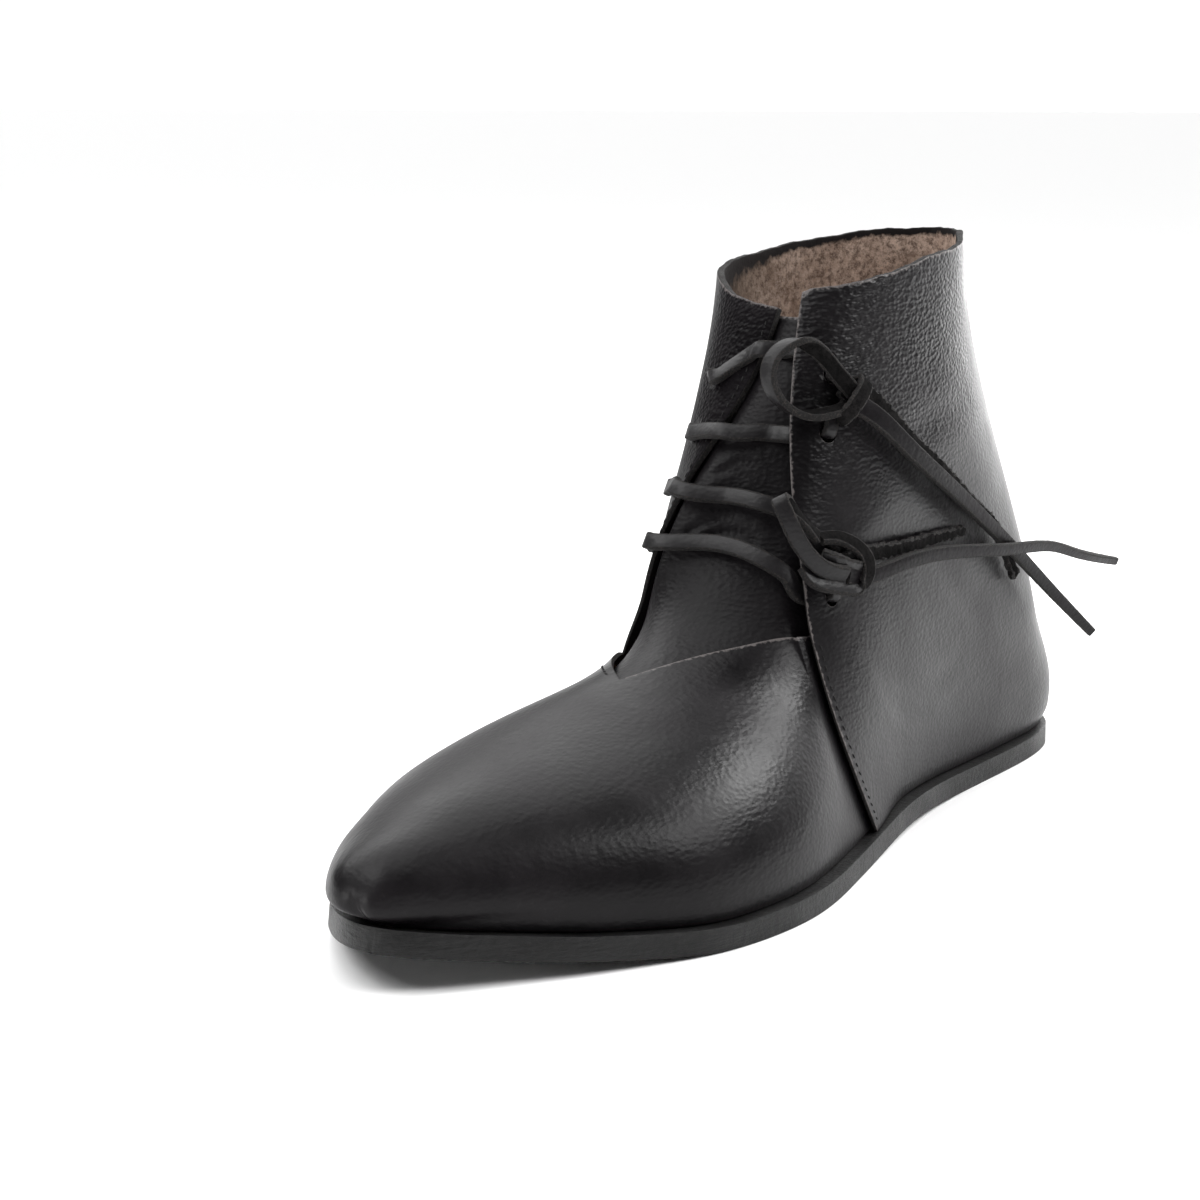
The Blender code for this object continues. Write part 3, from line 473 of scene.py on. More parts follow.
sideArcs = {side: featherArcs(side) for side in (outer, inner)}
rowQ = (sideArcs[outer] + sideArcs[inner]) / 2  # one running number from the toe tip (0) to the heel back (1)
collarRow = len(ridgeRows) - 1
collarQ = rowQ[collarRow]
throatQ = rowQ[5]
frontQ = {outer: rowQ[len(ridgeRows)], inner: rowQ[collarRow]}


def splitCurve(values, q):
    front = curveThrough(rowQ[: collarRow + 1], values[: collarRow + 1], np.minimum(q, collarQ))
    back = curveThrough(rowQ[collarRow:], values[collarRow:], np.maximum(q, collarQ))
    return np.where(q <= collarQ, front, back)


def sectionColumn(side, name, q, split):
    values = [row[sectionColumns.index(name)] for row in ridgeRows + collarRows[side]]
    return splitCurve(values, q) if split else curveThrough(rowQ, values, q)


def topHeights(side, q):
    heights = [row[3] * lastSizes["instepHeight"] for row in ridgeRows]
    heights += [row[3] * lastSizes["backHeight"] for row in collarRows[side]]
    return splitCurve(heights, q)


def ridgeLine(side, q):
    return sectionColumn(side, "side", np.minimum(q, collarQ), True) * lastSizes["ballWidth"]


innerPush = (  # height, and how far the inner side is filled out to its front corner there
    (-10.0, 0.0), (20.0, 0.0), (46.0, 0.2), (58.0, 2.6), (74.0, 5.3),
    (90.0, 4.8), (110.0, 2.8), (126.0, 0.2), (150.0, 0.0),
)
pushSetup = {"toward": (-0.857, -0.516, 0.0), "rise": 9.0, "back": 0.17}
innerFall = {"at": 0.350, "spread": 0.055, "share": 0.42}


def innerFullness(q, points):
    heights, pushes = zip(*innerPush)
    push = np.maximum(curveThrough(heights, pushes, points[:, 2]), 0.0)
    push = push * ease((ridgeLine(inner, q) - points[:, 0]) / pushSetup["rise"])
    push = push * (1 - ease((q - collarQ) / pushSetup["back"]))
    return push[:, None] * np.array(pushSetup["toward"])


def handles(side, q):
    q = np.atleast_1d(np.asarray(q, float))
    arcs, line, normals = featherLine[side]
    arc = curveThrough(rowQ, sideArcs[side], q)
    footX, footY = (np.interp(arc, arcs, line[:, k]) for k in (0, 1))
    outX, outY = (np.interp(arc, arcs, normals[:, k]) for k in (0, 1))
    footZ = soleBottom(footY) + lastSizes["soleThickness"] + lastSizes["seatGap"]
    foot = np.column_stack([footX, footY, footZ])
    topX = sectionColumn(side, "side", q, True) * lastSizes["ballWidth"]
    topY = lengthY(sectionColumn(side, "topAlong", q, True))
    top = np.column_stack([topX, topY, np.maximum(topHeights(side, q), foot[:, 2])])
    toe = q <= 1e-9
    top[toe] = foot[toe]
    height = top[:, 2] - foot[:, 2]
    half = np.abs(footX - top[:, 0])
    lean = np.radians(sectionColumn(side, "lean", q, False))
    up = np.column_stack([outX * np.sin(lean), outY * np.sin(lean), np.cos(lean)])
    lower = foot + up * (sectionColumn(side, "low", q, False) * height)[:, None]
    lower[:, 1] -= sectionColumn(side, "sweep", q, False) * height
    turn = np.radians(sectionColumn(side, "turn", q, True))
    high = sectionColumn(side, "high", q, True)
    if side == inner:
        high = high * (1 - innerFall["share"] * np.exp(-(((q - innerFall["at"]) / innerFall["spread"]) ** 2)))
    down = high * height * np.sin(turn)
    across = side * high * half * np.cos(turn)
    upper = top + np.column_stack([across, -sectionColumn(side, "fall", q, True) * down, -down])
    return np.stack([foot, lower, upper, top], axis=1)


def wall(side, q, v):
    q, v = np.broadcast_arrays(np.asarray(q, float), np.asarray(v, float))
    control = handles(side, q.ravel())
    v = v.ravel()
    weights = np.column_stack([(1 - v) ** 3, 3 * v * (1 - v) ** 2, 3 * v**2 * (1 - v), v**3])
    points = np.einsum("nk,nkd->nd", weights, control)
    if side == inner:
        points = points + innerFullness(q.ravel(), points)
    return points.reshape(q.shape + (3,))


def wallNormal(side, q, v):
    q, v = np.broadcast_arrays(np.asarray(q, float), np.asarray(v, float))
    q = np.clip(q, 0.012, 1.0)
    reach = np.clip(0.3 * q, 0.002, 0.03)
    along = wall(side, np.clip(q + reach, 0.0, 1.0), v) - wall(side, np.clip(q - reach, 0.001, 1.0), v)
    upward = wall(side, q, np.clip(v + 0.01, 0.0, 1.0)) - wall(side, q, np.clip(v - 0.01, 0.0, 1.0))
    return unit(np.cross(along, upward) * side)


def sharedNormal(side, q, v, meet):
    normal = wallNormal(side, q, v)
    return np.where(meet[..., None], unit(normal + wallNormal(-side, q, v)), normal)


def edgeShare(side, q, distance):
    q = np.atleast_1d(np.asarray(q, float))
    shares = np.linspace(0.3, 1.0, 141)
    found = []
    for place, width in zip(q, np.broadcast_to(distance, q.shape)):
        ridgeX = ridgeLine(side, np.array([place]))[0]
        away = side * (wall(side, np.full(shares.shape, place), shares)[:, 0] - ridgeX)
        found.append(np.interp(-width, -away, shares) if width > 0 else 1.0)
    return np.array(found)


def throatSpread(side, q):
    back = np.clip((q - throatQ) / (frontQ[side] - throatQ), 0, 1)
    ways, distances = zip(*throatRows[side])
    return curveThrough(ways, distances, back)


def shareAtHeight(side, q, height):
    shares = np.linspace(0, 1, 201)
    return float(np.interp(height, wall(side, np.full(shares.shape, q), shares)[:, 2], shares))


def setBack(side, edgeV, distance):
    places = np.linspace(frontQ[side], frontQ[side] + 0.2, 81)
    points = wall(side, places, np.full(places.shape, edgeV))
    return float(np.interp(distance, runLengths(points), places))


frontShare = {}  # where the throat line meets the quarter's front edge
for side in (outer, inner):
    frontShare[side] = float(edgeShare(side, [frontQ[side]], throatRows[side][-1][1])[0])
print("last shaped")


# leather panels

creaseRows = (  # depth, half width, then points on the leather
    (0.24, 2.6, ((32.1, 0.7, 45.9), (32.9, 11.4, 38.1), (32.5, 26.7, 33.2), (32.0, 42.7, 32.1),
                 (31.9, 54.9, 35.0))),
    (0.16, 2.2, ((32.7, 3.4, 38.9), (33.0, 17.1, 29.8), (32.0, 36.8, 25.2))),
    (0.18, 3.2, ((31.4, 36.3, 63.1), (31.9, 53.9, 53.0), (32.2, 69.5, 42.8))),
    (0.09, 2.2, ((-1.8, -64.1, 46.0), (8.6, -64.7, 45.1), (16.7, -52.4, 45.9))),
    (0.09, 2.8, ((13.2, -80.8, 40.1), (20.6, -68.2, 40.6), (23.9, -47.2, 43.5))),
    (0.35, 3.6, ((28.1, 72.4, 98.5), (29.4, 38.9, 97.0), (28.9, 22.9, 93.8))),
    (0.80, 0.9, ((-7.0, -19.5, 74.0), (-1.5, -17.0, 77.5), (5.0, -15.5, 79.0), (11.0, -16.0, 78.0),
                 (15.0, -18.0, 71.5))),
    (0.70, 0.9, ((-4.0, -19.5, 72.5), (0.0, -17.5, 75.0), (6.0, -16.5, 76.0), (10.0, -17.0, 74.5),
                 (12.0, -18.5, 71.0))),
    (0.65, 0.9, ((-3.0, -16.5, 79.5), (5.0, -14.5, 81.0), (11.0, -15.0, 80.5), (13.5, -16.5, 76.0))),
    (0.50, 1.0, ((-1.5, -12.0, 90.0), (5.0, -10.5, 91.0), (9.0, -11.5, 88.5))),
    (0.45, 1.0, ((-4.0, -13.0, 88.0), (3.5, -11.5, 89.0), (8.0, -12.5, 86.5))),
    (0.40, 3.4, ((-33.5, 14.0, 44.0), (-34.0, 30.0, 36.0), (-34.5, 50.0, 36.0))),
    (0.35, 3.4, ((-34.0, 70.0, 98.0), (-36.0, 45.0, 95.0), (-33.0, 25.0, 90.0))),
)


def smoothRoute(points, step):
    points = np.asarray(points, float)
    knots = runLengths(points[:, :3])
    count = max(4, int(round(knots[-1] / step)))
    places = np.linspace(0, knots[-1], count + 1)
    return np.column_stack([curveThrough(knots, points[:, k], places) for k in range(points.shape[1])])


def creaseDepth(points):
    flat = points.reshape(-1, 3)
    total = np.zeros(len(flat))
    for depth, half, route in creaseRows:
        line = smoothRoute(route, 1.5)
        gaps = np.linalg.norm(flat[:, None, :] - line[None, :, :], axis=2)
        nearest = np.argmin(gaps, axis=1)
        away = gaps[np.arange(len(flat)), nearest]
        ends = np.sin(math.pi * np.clip((nearest + 0.5) / len(line), 0, 1)) ** 0.6
        trough = -np.exp(-((away / half) ** 2)) + 0.5 * np.exp(-(((away - 2.0 * half) / half) ** 2))
        total += depth * ends * trough
    return total.reshape(points.shape[:-1])


def layPanel(name, points, marks, side):
    columns, rows = points.shape[0] - 1, points.shape[1] - 1
    bpy.ops.mesh.primitive_grid_add(x_subdivisions=columns, y_subdivisions=rows, size=1.0)
    panel = bpy.context.object
    panel.name = name
    mesh = panel.data
    flat = np.empty(len(mesh.vertices) * 3)
    mesh.vertices.foreach_get("co", flat)
    flat = flat.reshape(-1, 3)
    column = np.rint((flat[:, 0] + 0.5) * columns).astype(int)
    row = np.rint((flat[:, 1] + 0.5) * rows).astype(int)
    mesh.vertices.foreach_set("co", (points[column, row] * mm).ravel())
    for mark, values in marks.items():
        layer = mesh.attributes.new(mark, "FLOAT", "POINT")
        layer.data.foreach_set("value", values[column, row].astype(float))
    if side == inner:
        mesh.flip_normals()
    mesh.update()
    return panel


def pickOnly(*pieces):
    bpy.ops.object.select_all(action="DESELECT")
    for piece in pieces:
        piece.select_set(True)
    bpy.context.view_layer.objects.active = pieces[0]


def mergeDoubles(piece):
    pickOnly(piece)
    bpy.ops.object.mode_set(mode="EDIT")
    bpy.ops.mesh.select_all(action="SELECT")
    bpy.ops.mesh.remove_doubles(threshold=0.02 * mm)
    bpy.ops.object.mode_set(mode="OBJECT")


def applyModifier(piece, modifier):
    bpy.context.view_layer.objects.active = piece
    bpy.ops.object.modifier_apply(modifier=modifier.name)


def thicken(piece, thickness, materials, even=True):
    piece.data.materials.clear()
    for material in materials:
        piece.data.materials.append(material)
    solid = piece.modifiers.new("thickness", "SOLIDIFY")
    solid.thickness = thickness * mm
    solid.offset = -1.0
    solid.use_even_offset = even
    solid.thickness_clamp = 0.8 if even else 0.0
    solid.material_offset = 1
    solid.material_offset_rim = 2
    applyModifier(piece, solid)


def softenRims(piece, offset):
    pickOnly(piece)
    bpy.ops.object.mode_set(mode="EDIT")
    bpy.ops.mesh.select_mode(type="EDGE")
    bpy.ops.mesh.select_all(action="DESELECT")
    bpy.ops.mesh.edges_select_sharp(sharpness=math.radians(60))
    bpy.ops.mesh.bevel(offset=offset * mm, segments=2, affect="EDGES", clamp_overlap=True)
    bpy.ops.object.mode_set(mode="OBJECT")


def smoothShade(piece, degrees):
    pickOnly(piece)
    bpy.ops.object.shade_smooth_by_angle(angle=math.radians(degrees))


def rimDistance(points, edges):
    flat = points.reshape(-1, 3)
    nearest = np.full(len(flat), 1e6)
    for start in range(0, len(edges), 40):
        gaps = np.linalg.norm(flat[:, None, :] - edges[None, start : start + 40, :], axis=2)
        nearest = np.minimum(nearest, gaps.min(axis=1))
    return nearest.reshape(points.shape[:-1])


def wobble(run, size, seed):
    long = np.sin(run * 0.21 + seed) + 0.6 * np.sin(run * 0.53 + 2.1 * seed)
    return size * (long + 0.4 * np.sin(run * 1.3 + seed * 0.7))


vampCut = {
    "toeColumns": 70, "throatColumns": 38, "lapColumns": 5, "rows": 52, "lap": 0.032,
    "throatEnd": {outer: 0.447, inner: 0.461}, "keelRounds": 150, "keelFull": 6.0, "keelFade": 20.0,
    "toeFull": (-3.0, -5.4), "toeReach": 34.0, "toeRise": 3.0, "toeFrom": 8.0, "toeFade": 14.0,
    "pale": {outer: 0.0, inner: 5.0},  # only the outer half of the throat gets the pale line along its edge
}
quarterCut = {
    "columns": 104, "lowRows": 44, "highRows": 46, "heelLevel": 0.5, "retreat": {outer: 0.0, inner: 0.016},
    "seamStep": 2.1, "seamFade": 0.10, "flapStand": 3.4, "flapRise": 0.13, "flapFade": 0.17,
    "heelFull": 4.0, "heelFrom": 0.80, "heelRise": 0.15, "swellTop": 9.0, "swellFade": 24.0,
}
quarterWearAndShade = {  # heights and places along the boot in millimetres, dull in the wall's own running number
    "rippleFrom": 78.0, "rippleRise": 34.0, "rippleBack": 55.0, "rippleFade": 30.0,
    "marginFrom": 45.0, "marginRun": 60.0, "dullAndShade": {outer: 0.0, inner: 1.0},  # inner front dull, and painted shade on its flesh side
    "dullFrom": 0.52, "dullFade": 0.10, "paintedShade": 0.92, "paintedShadeFrom": 52.0, "paintedShadeFade": 62.0,
}
tongueCut = {
    "columns": 130, "rows": 120, "gap": 0.3, "thickness": 1.6, "start": 0.035, "short": 1.0,
    "underFlap": (0.014, 0.044, 0.10), "underEdge": 0.035, "frontEnd": 0.440,
    "lowUntil": 60.0, "blend": 18.0, "rounds": 14,
}


def vampGrid(side):
    cut = vampCut
    toe = np.linspace(0, 1, cut["toeColumns"] + 1) ** 1.25 * throatQ
    throat = np.linspace(throatQ, cut["throatEnd"][side], cut["throatColumns"] + 1)[1:]
    lap = np.linspace(frontQ[side], frontQ[side] + cut["lap"], cut["lapColumns"] + 1)[1:]
    q = np.concatenate([toe, throat, lap])
    held = np.minimum(q, frontQ[side])
    tops = np.where(q <= throatQ, 1.0, edgeShare(side, held, throatSpread(side, held)))
    rows = np.linspace(0, 1, cut["rows"] + 1)
    v = rows[None, :] * tops[:, None]
    qGrid = np.broadcast_to(q[:, None], v.shape)
    meet = (qGrid <= throatQ + 1e-9) & (v >= 1 - 1e-9)
    face = wall(side, qGrid, v)
    normal = sharedNormal(side, qGrid, v, meet)
    normal[0] = (0, -1, 0)
    points = face + normal * creaseDepth(face)[..., None]
    points[:, 0] = face[:, 0]
    points[0] = face[0]
    return points


def fillToe(points):
    tip = points[0, 0].copy()
    above = points[..., 2] - tip[2]
    cut = vampCut
    front = 1 - ease((points[..., 1] - tip[1]) / cut["toeReach"])
    full = front * ease(above / cut["toeRise"]) * (1 - ease((above - cut["toeFrom"]) / cut["toeFade"]))
    points[..., :2] += full[..., None] * np.array(cut["toeFull"])


def roundToe(grids):
    # rounds the keel that the two halves make over the toe's point
    cut = vampCut
    last = cut["toeColumns"]
    near, far = grids[outer], grids[inner]
    ring = np.concatenate([near[1:last], far[1:last, ::-1][:, 1:]], axis=1)
    even = ring.copy()
    for _ in range(cut["keelRounds"]):
        even[:, 1:-1] = (even[:, :-2] + 2 * even[:, 1:-1] + even[:, 2:]) / 4
    behind = ring[:, cut["rows"], 1] + lastSizes["soleLength"] / 2
    share = 1 - ease((behind - cut["keelFull"]) / cut["keelFade"])
    ring = ring + (even - ring) * share[:, None, None]
    near[1:last] = ring[:, : cut["rows"] + 1]
    far[1:last] = ring[:, cut["rows"]:][:, ::-1]
    fillToe(near)
    fillToe(far)


def vampHalf(side, points):
    edge = points[vampCut["toeColumns"]:, -1]
    rim = rimDistance(points, edge)
    ripple = 0.10 * ease((points[..., 1] + 120.0) / 50.0)
    marks = {"rim": rim + vampCut["pale"][side], "margin": rim, "ripple": ripple}
    return layPanel("vampHalf", points, marks, side)


def edgeRetreat(side, v):
    return quarterCut["retreat"][side] * ease((frontShare[side] - v) / 0.12)


def quarterLift(side, q, v):
    cut = quarterCut
    behind = q - frontQ[side]
    step = cut["seamStep"] * (1 - ease(behind / cut["seamFade"]))
    above = ease((v - frontShare[side]) / cut["flapRise"])
    stand = cut["flapStand"] if side == outer else 0.0
    return stand * above * (1 - ease(behind / cut["flapFade"])) + step * (1 - above)


def quarterMarks(side, q, points):
    wear = quarterWearAndShade
    y = points[..., 1]
    collar = points[:, -1]
    edge = np.vstack([points[0], collar])
    shaft = ease((points[..., 2] - wear["rippleFrom"]) / wear["rippleRise"])
    front = 1 - 0.55 * ease((y - wear["rippleBack"]) / wear["rippleFade"])
    thinner = 0.45 + 1.5 * ease((y - wear["marginFrom"]) / wear["marginRun"])
    dullAndShade = wear["dullAndShade"][side]
    return {
        "rim": rimDistance(points, edge if side == outer else collar),
        "margin": rimDistance(points, edge) * thinner,  # the black margin inside thins to the back
        "ripple": 0.12 + 0.88 * shaft * front,
        "dull": dullAndShade * (1 - ease((q - wear["dullFrom"]) / wear["dullFade"])),
        # painted shade: the inner quarter's flesh side gets darker toward its front, standing in for shade
        # inside the collar
        "paintedShade": wear["paintedShade"] * dullAndShade * (1 - ease((y - wear["paintedShadeFrom"]) / wear["paintedShadeFade"])),
    }


def quarterHalf(side):
    cut = quarterCut
    back = np.linspace(0, 1, cut["columns"] + 1) ** 1.15
    q = frontQ[side] + (1 - frontQ[side]) * back
    level = frontShare[side] + (cut["heelLevel"] - frontShare[side]) * ease(back)
    low = np.linspace(0, 1, cut["lowRows"] + 1)
    high = np.linspace(0, 1, cut["highRows"] + 1)[1:]
    level = level[:, None]
    v = np.hstack([level * low[None, :], level + (1 - level) * high[None, :]])
    qGrid = q[:, None] + edgeRetreat(side, v) * (1 - back[:, None]) ** 2
    face = wall(side, qGrid, v)
    heel = np.broadcast_to(q[:, None] >= 1 - 1e-9, v.shape)
    normal = sharedNormal(side, qGrid, v, heel)
    normal[heel, 0] = 0.0
    above = face[..., 2] - face[:, :1, 2]
    swelling = (0.6 + 0.4 * ease(above / 5.0)) * (1 - ease((above - cut["swellTop"]) / cut["swellFade"]))
    swelling = cut["heelFull"] * ease((qGrid - cut["heelFrom"]) / cut["heelRise"]) * swelling
    lift = quarterLift(side, qGrid, v) + swelling
    points = face + normal * (lift + creaseDepth(face) * ease(v / 0.06))[..., None]
    points[:, 0, 2] = face[:, 0, 2]
    run = np.linspace(0, 150, points.shape[0])
    points[:, -1, 2] += wobble(run, 0.16, 1.3 + side) * ease((1 - back) / 0.05)
    return layPanel("quarterHalf", points, quarterMarks(side, qGrid, points), side)


def evenCurve(line, count):
    runs = np.concatenate([[0.0], np.cumsum(np.sqrt(np.linalg.norm(np.diff(line, axis=0), axis=1)))])
    fine = np.linspace(0, runs[-1], 400)
    curve = np.column_stack([curveThrough(runs, line[:, k], fine) for k in range(3)])
    lengths = runLengths(curve)
    even = np.linspace(0, lengths[-1], count + 1)
    return alongLine(even, lengths, curve)


def atHeight(side, places, height):
    return [wall(side, q, shareAtHeight(side, q, height)) for q in places]


def sectionLine(height, ridgeQ):
    # the tongue's level section at one height, from under the inner quarter round to under the outer flap
    cut = tongueCut
    far = frontQ[inner] + cut["underEdge"]
    innerQ = [ridgeQ + (far - ridgeQ) * share for share in (1.0, 0.8, 0.6, 0.4, 0.2)]
    innerLine = atHeight(inner, innerQ, height) + [wall(outer, ridgeQ, 1.0)]
    underLine = atHeight(outer, [frontQ[outer] + step for step in cut["underFlap"]], height)
    high = evenCurve(np.array(innerLine + underLine), cut["columns"])
    share = float(ease((height - cut["lowUntil"]) / cut["blend"]))
    if share == 1.0:
        return high
    slopeQ = [ridgeQ + (cut["frontEnd"] - ridgeQ) * part for part in (0.33, 0.66, 1.0)]
    slopeLine = atHeight(outer, slopeQ, height)
    low = evenCurve(np.array(innerLine + slopeLine + underLine), cut["columns"])
    return low + (high - low) * share


def outward(grid):
    return unit(np.cross(np.gradient(grid, axis=0), np.gradient(grid, axis=1)))


def evened(grid, rounds):
    grid = grid.copy()
    for _ in range(rounds):
        grid[1:-1] = (grid[:-2] + 2 * grid[1:-1] + grid[2:]) / 4
        grid[:, 1:-1] = (grid[:, :-2] + 2 * grid[:, 1:-1] + grid[:, 2:]) / 4
    return grid


def tongueSheet():
    cut = tongueCut
    ridgeQ = np.linspace(throatQ - cut["start"], collarQ, 300)
    ridge = wall(outer, ridgeQ, np.ones(300))
    runs = runLengths(ridge)
    places = np.interp(np.linspace(0, runs[-1] - cut["short"], cut["rows"] + 1), runs, ridgeQ)
    heights = np.interp(places, ridgeQ, ridge[:, 2])
    face = np.stack([sectionLine(height, q) for height, q in zip(heights, places)], axis=1)
    inset = lastSizes["leather"] + cut["gap"]
    face = evened(face - outward(face) * inset, cut["rounds"])
    depth = np.minimum(creaseDepth(face + outward(face) * inset), 0.4)
    points = face + outward(face) * depth[..., None]
    rim = rimDistance(points, points[:, -1])
    marks = {"rim": rim, "margin": rim, "ripple": np.full(depth.shape, 0.35)}
    return layPanel("tonguePanel", points, marks, outer)


def finishPanel(name, halves, settle=None):
    pickOnly(*halves)
    bpy.ops.object.join()
    panel = bpy.context.object
    mergeDoubles(panel)
    if settle:
        settleToe(panel, settle)
    panel.name = name
    panel.data.name = name
    thicken(panel, lastSizes["leather"], leatherFaces)
    softenRims(panel, rimRound)
    return panel


def settleToe(panel, setup):
    # evens out the leather drawn over the toe's point
    group = panel.vertex_groups.new(name="toe")
    low = soleBottom(-lastSizes["soleLength"] / 2) + lastSizes["soleThickness"]
    for vertex in panel.data.vertices:
        back = vertex.co.y / mm + lastSizes["soleLength"] / 2
        above = vertex.co.z / mm - low
        share = (1 - ease((back - setup["full"]) / setup["fade"])) * ease((above - 0.4) / setup["rise"])
        group.add([vertex.index], float(share), "REPLACE")
    smooth = panel.modifiers.new("settle", "SMOOTH")
    smooth.factor = 0.5
    smooth.iterations = setup["rounds"]
    smooth.vertex_group = "toe"
    applyModifier(panel, smooth)
    panel.vertex_groups.clear()


def declare(piece, slotName, *nodes):
    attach(piece, "root")
    if nodes:
        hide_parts(*nodes)


holeSetback = {outer: 9.0, inner: 14.0}
holeSize = {"diameter": 4.4, "depth": 11.0}
crossingRows = (  # heights at the inner hole, the ridge, the flap's edge, the outer hole and the inner edge
    (108.0, 115.4, 116.0, 110.0, 114.6),
    (95.0, 97.0, 97.0, 96.7, 96.0),
    (82.0, 83.0, 79.6, 73.0, 83.6),
    (69.0, 72.5, 62.5, 60.5, 71.0),
)


def holePlace(side, height):
    q = setBack(side, shareAtHeight(side, frontQ[side], height), holeSetback[side])
    return q, shareAtHeight(side, q, height)


def punchHoles(panel):
    cutters = []
    for row in crossingRows:
        for side, height in ((outer, row[3]), (inner, row[0])):
            q, v = holePlace(side, height)
            normal = wallNormal(side, q, v)
            point = wall(side, q, v) + normal * (quarterLift(side, q, v) - 1.0)
            turn = Vector(normal).to_track_quat("Z", "Y").to_euler()
            sizes = {"radius": holeSize["diameter"] / 2 * mm, "depth": holeSize["depth"] * mm}
            bpy.ops.mesh.primitive_cylinder_add(vertices=20, location=point * mm, rotation=turn, **sizes)
            cutters.append(bpy.context.object)
    pickOnly(*cutters)
    bpy.ops.object.join()
    punch = bpy.context.object
    for material in panel.data.materials:
        punch.data.materials.append(material)
    punch.data.polygons.foreach_set("material_index", [2] * len(punch.data.polygons))
    cut = panel.modifiers.new("punch", "BOOLEAN")
    cut.operation = "DIFFERENCE"
    cut.solver = "EXACT"
    cut.object = punch
    applyModifier(panel, cut)
    bpy.data.objects.remove(punch, do_unlink=True)


leatherFaces = (grainLeather, fleshSide, rawEdge)
rimRound = 0.35
toeSettle = {"full": 10.0, "fade": 22.0, "rise": 2.0, "rounds": 24}
vampGrids = {side: vampGrid(side) for side in (outer, inner)}
roundToe(vampGrids)
vampHalves = [vampHalf(side, grid) for side, grid in vampGrids.items()]
vamp = finishPanel("vamp", vampHalves, toeSettle)
smoothShade(vamp, 50)
declare(vamp, "upper_leather", "upper")
quarters = finishPanel("quarters", [quarterHalf(outer), quarterHalf(inner)])
punchHoles(quarters)
smoothShade(quarters, 50)
declare(quarters, "upper_leather", "upper")
tongueFaces = (tongueGrain, fleshSide, rawEdge)
tongue = tongueSheet()
thicken(tongue, tongueCut["thickness"], tongueFaces, False)
softenRims(tongue, rimRound)
smoothShade(tongue, 50)
declare(tongue, "tongue_leather", "tongue")
print("panels:", [len(piece.data.polygons) for piece in (vamp, quarters, tongue)])


# sole and insole

soleCut = {"stations": 200, "rows": 14, "thickness": 5.2, "round": 0.7, "inset": 0.0, "lift": 0.0}
insoleCut = {"stations": 120, "rows": 12, "thickness": 2.0, "round": 0.3, "inset": 5.8, "lift": 5.5}


def solePlate(name, cut, material):
    sides = outlineSides(cut["inset"])
    front = sides[outer][1][0, 1]
    back = sides[outer][1][-1, 1]
    turns = np.linspace(0, math.pi, cut["stations"] + 1)
    y = front + (back - front) * (1 - np.cos(turns)) / 2
    edges = {side: np.interp(y, sides[side][1][:, 1], sides[side][1][:, 0]) for side in (outer, inner)}
    share = (1 - np.cos(np.linspace(0, math.pi, cut["rows"] + 1))) / 2
    x = edges[outer][:, None] * (1 - share)[None, :] + edges[inner][:, None] * share[None, :]
    yGrid = np.broadcast_to(y[:, None], x.shape)
    top = soleBottom(yGrid) + cut["lift"] + cut["thickness"]
    points = np.stack([x, yGrid, top], axis=-1)
    points[[0, -1], :, 0] = points[[0, -1], :, 0].mean(axis=1, keepdims=True)
    marks = {"rim": np.full(x.shape, 50.0), "ripple": np.zeros(x.shape)}
    plate = layPanel(name, points, marks, outer)
    mergeDoubles(plate)
    if plate.data.polygons[len(plate.data.polygons) // 2].normal.z < 0:
        plate.data.flip_normals()
    thicken(plate, cut["thickness"], [material] * 3, False)
    softenRims(plate, cut["round"])
    smoothShade(plate, 50)
    return plate


sole = solePlate("sole", soleCut, soleLeather)
declare(sole, "sole_leather", "outsole")
insole = solePlate("sock", insoleCut, insoleFlesh)
declare(insole, "insole_leather", "insole")
print("sole:", len(sole.data.polygons))


# thongs

thong = {"width": 4.0, "thickness": 1.8, "round": 0.45, "step": 0.9}
lacingGap = {"over": 2.3, "edgeRun": 6.0}


def strapMesh(name, route, widths, thickness, rough, dull=0.0):
    centre = route[:, :3]
    ahead = unit(np.gradient(centre, axis=0))
    across = unit(route[:, 3:] - ahead * np.sum(route[:, 3:] * ahead, axis=1)[:, None])
    facing = np.cross(ahead, across)
    half = thickness / 2
    soft = thong["round"]
    wear = np.random.default_rng(len(centre) + int(rough * 100))
    rings = []
    for turnW, turnT in ((1, 1), (-1, 1), (-1, -1), (1, -1)):
        for degrees in ((0, 45, 90) if turnW == turnT else (90, 45, 0)):
            swing = math.radians(degrees)
            reach = turnW * (widths / 2 - soft * (1 - math.cos(swing)))
            rise = turnT * (half - soft * (1 - math.sin(swing)))
            reach = reach + rough * wear.normal(size=len(centre)) * 0.7
            rise = rise + rough * wear.normal(size=len(centre)) * 0.35
            rings.append(centre + across * reach[:, None] + facing * rise[:, None])
    rings = np.stack(rings, axis=1)
    count, ring = rings.shape[:2]
    points = np.vstack([rings.reshape(-1, 3), centre[:1], centre[-1:]]) * mm
    faces = []
    looks = []
    for i in range(count - 1):
        for k in range(ring):
            after = (k + 1) % ring
            faces.append((i * ring + k, (i + 1) * ring + k, (i + 1) * ring + after, i * ring + after))
            looks.append({2: 0, 8: 1}.get(k, 2))
    first, last = count * ring, count * ring + 1
    for k in range(ring):
        after = (k + 1) % ring
        faces.append((first, k, after))
        faces.append((last, (count - 1) * ring + after, (count - 1) * ring + k))
        looks += [2, 2]
    strap = meshPiece(name, points, faces, (thongGrain, thongFlesh, rawEdge), looks)
    for mark, value in (("rim", 50.0), ("ripple", 0.10), ("dull", dull)):
        layer = strap.data.attributes.new(mark, "FLOAT", "POINT")
        layer.data.foreach_set("value", [value] * len(strap.data.vertices))
    return strap


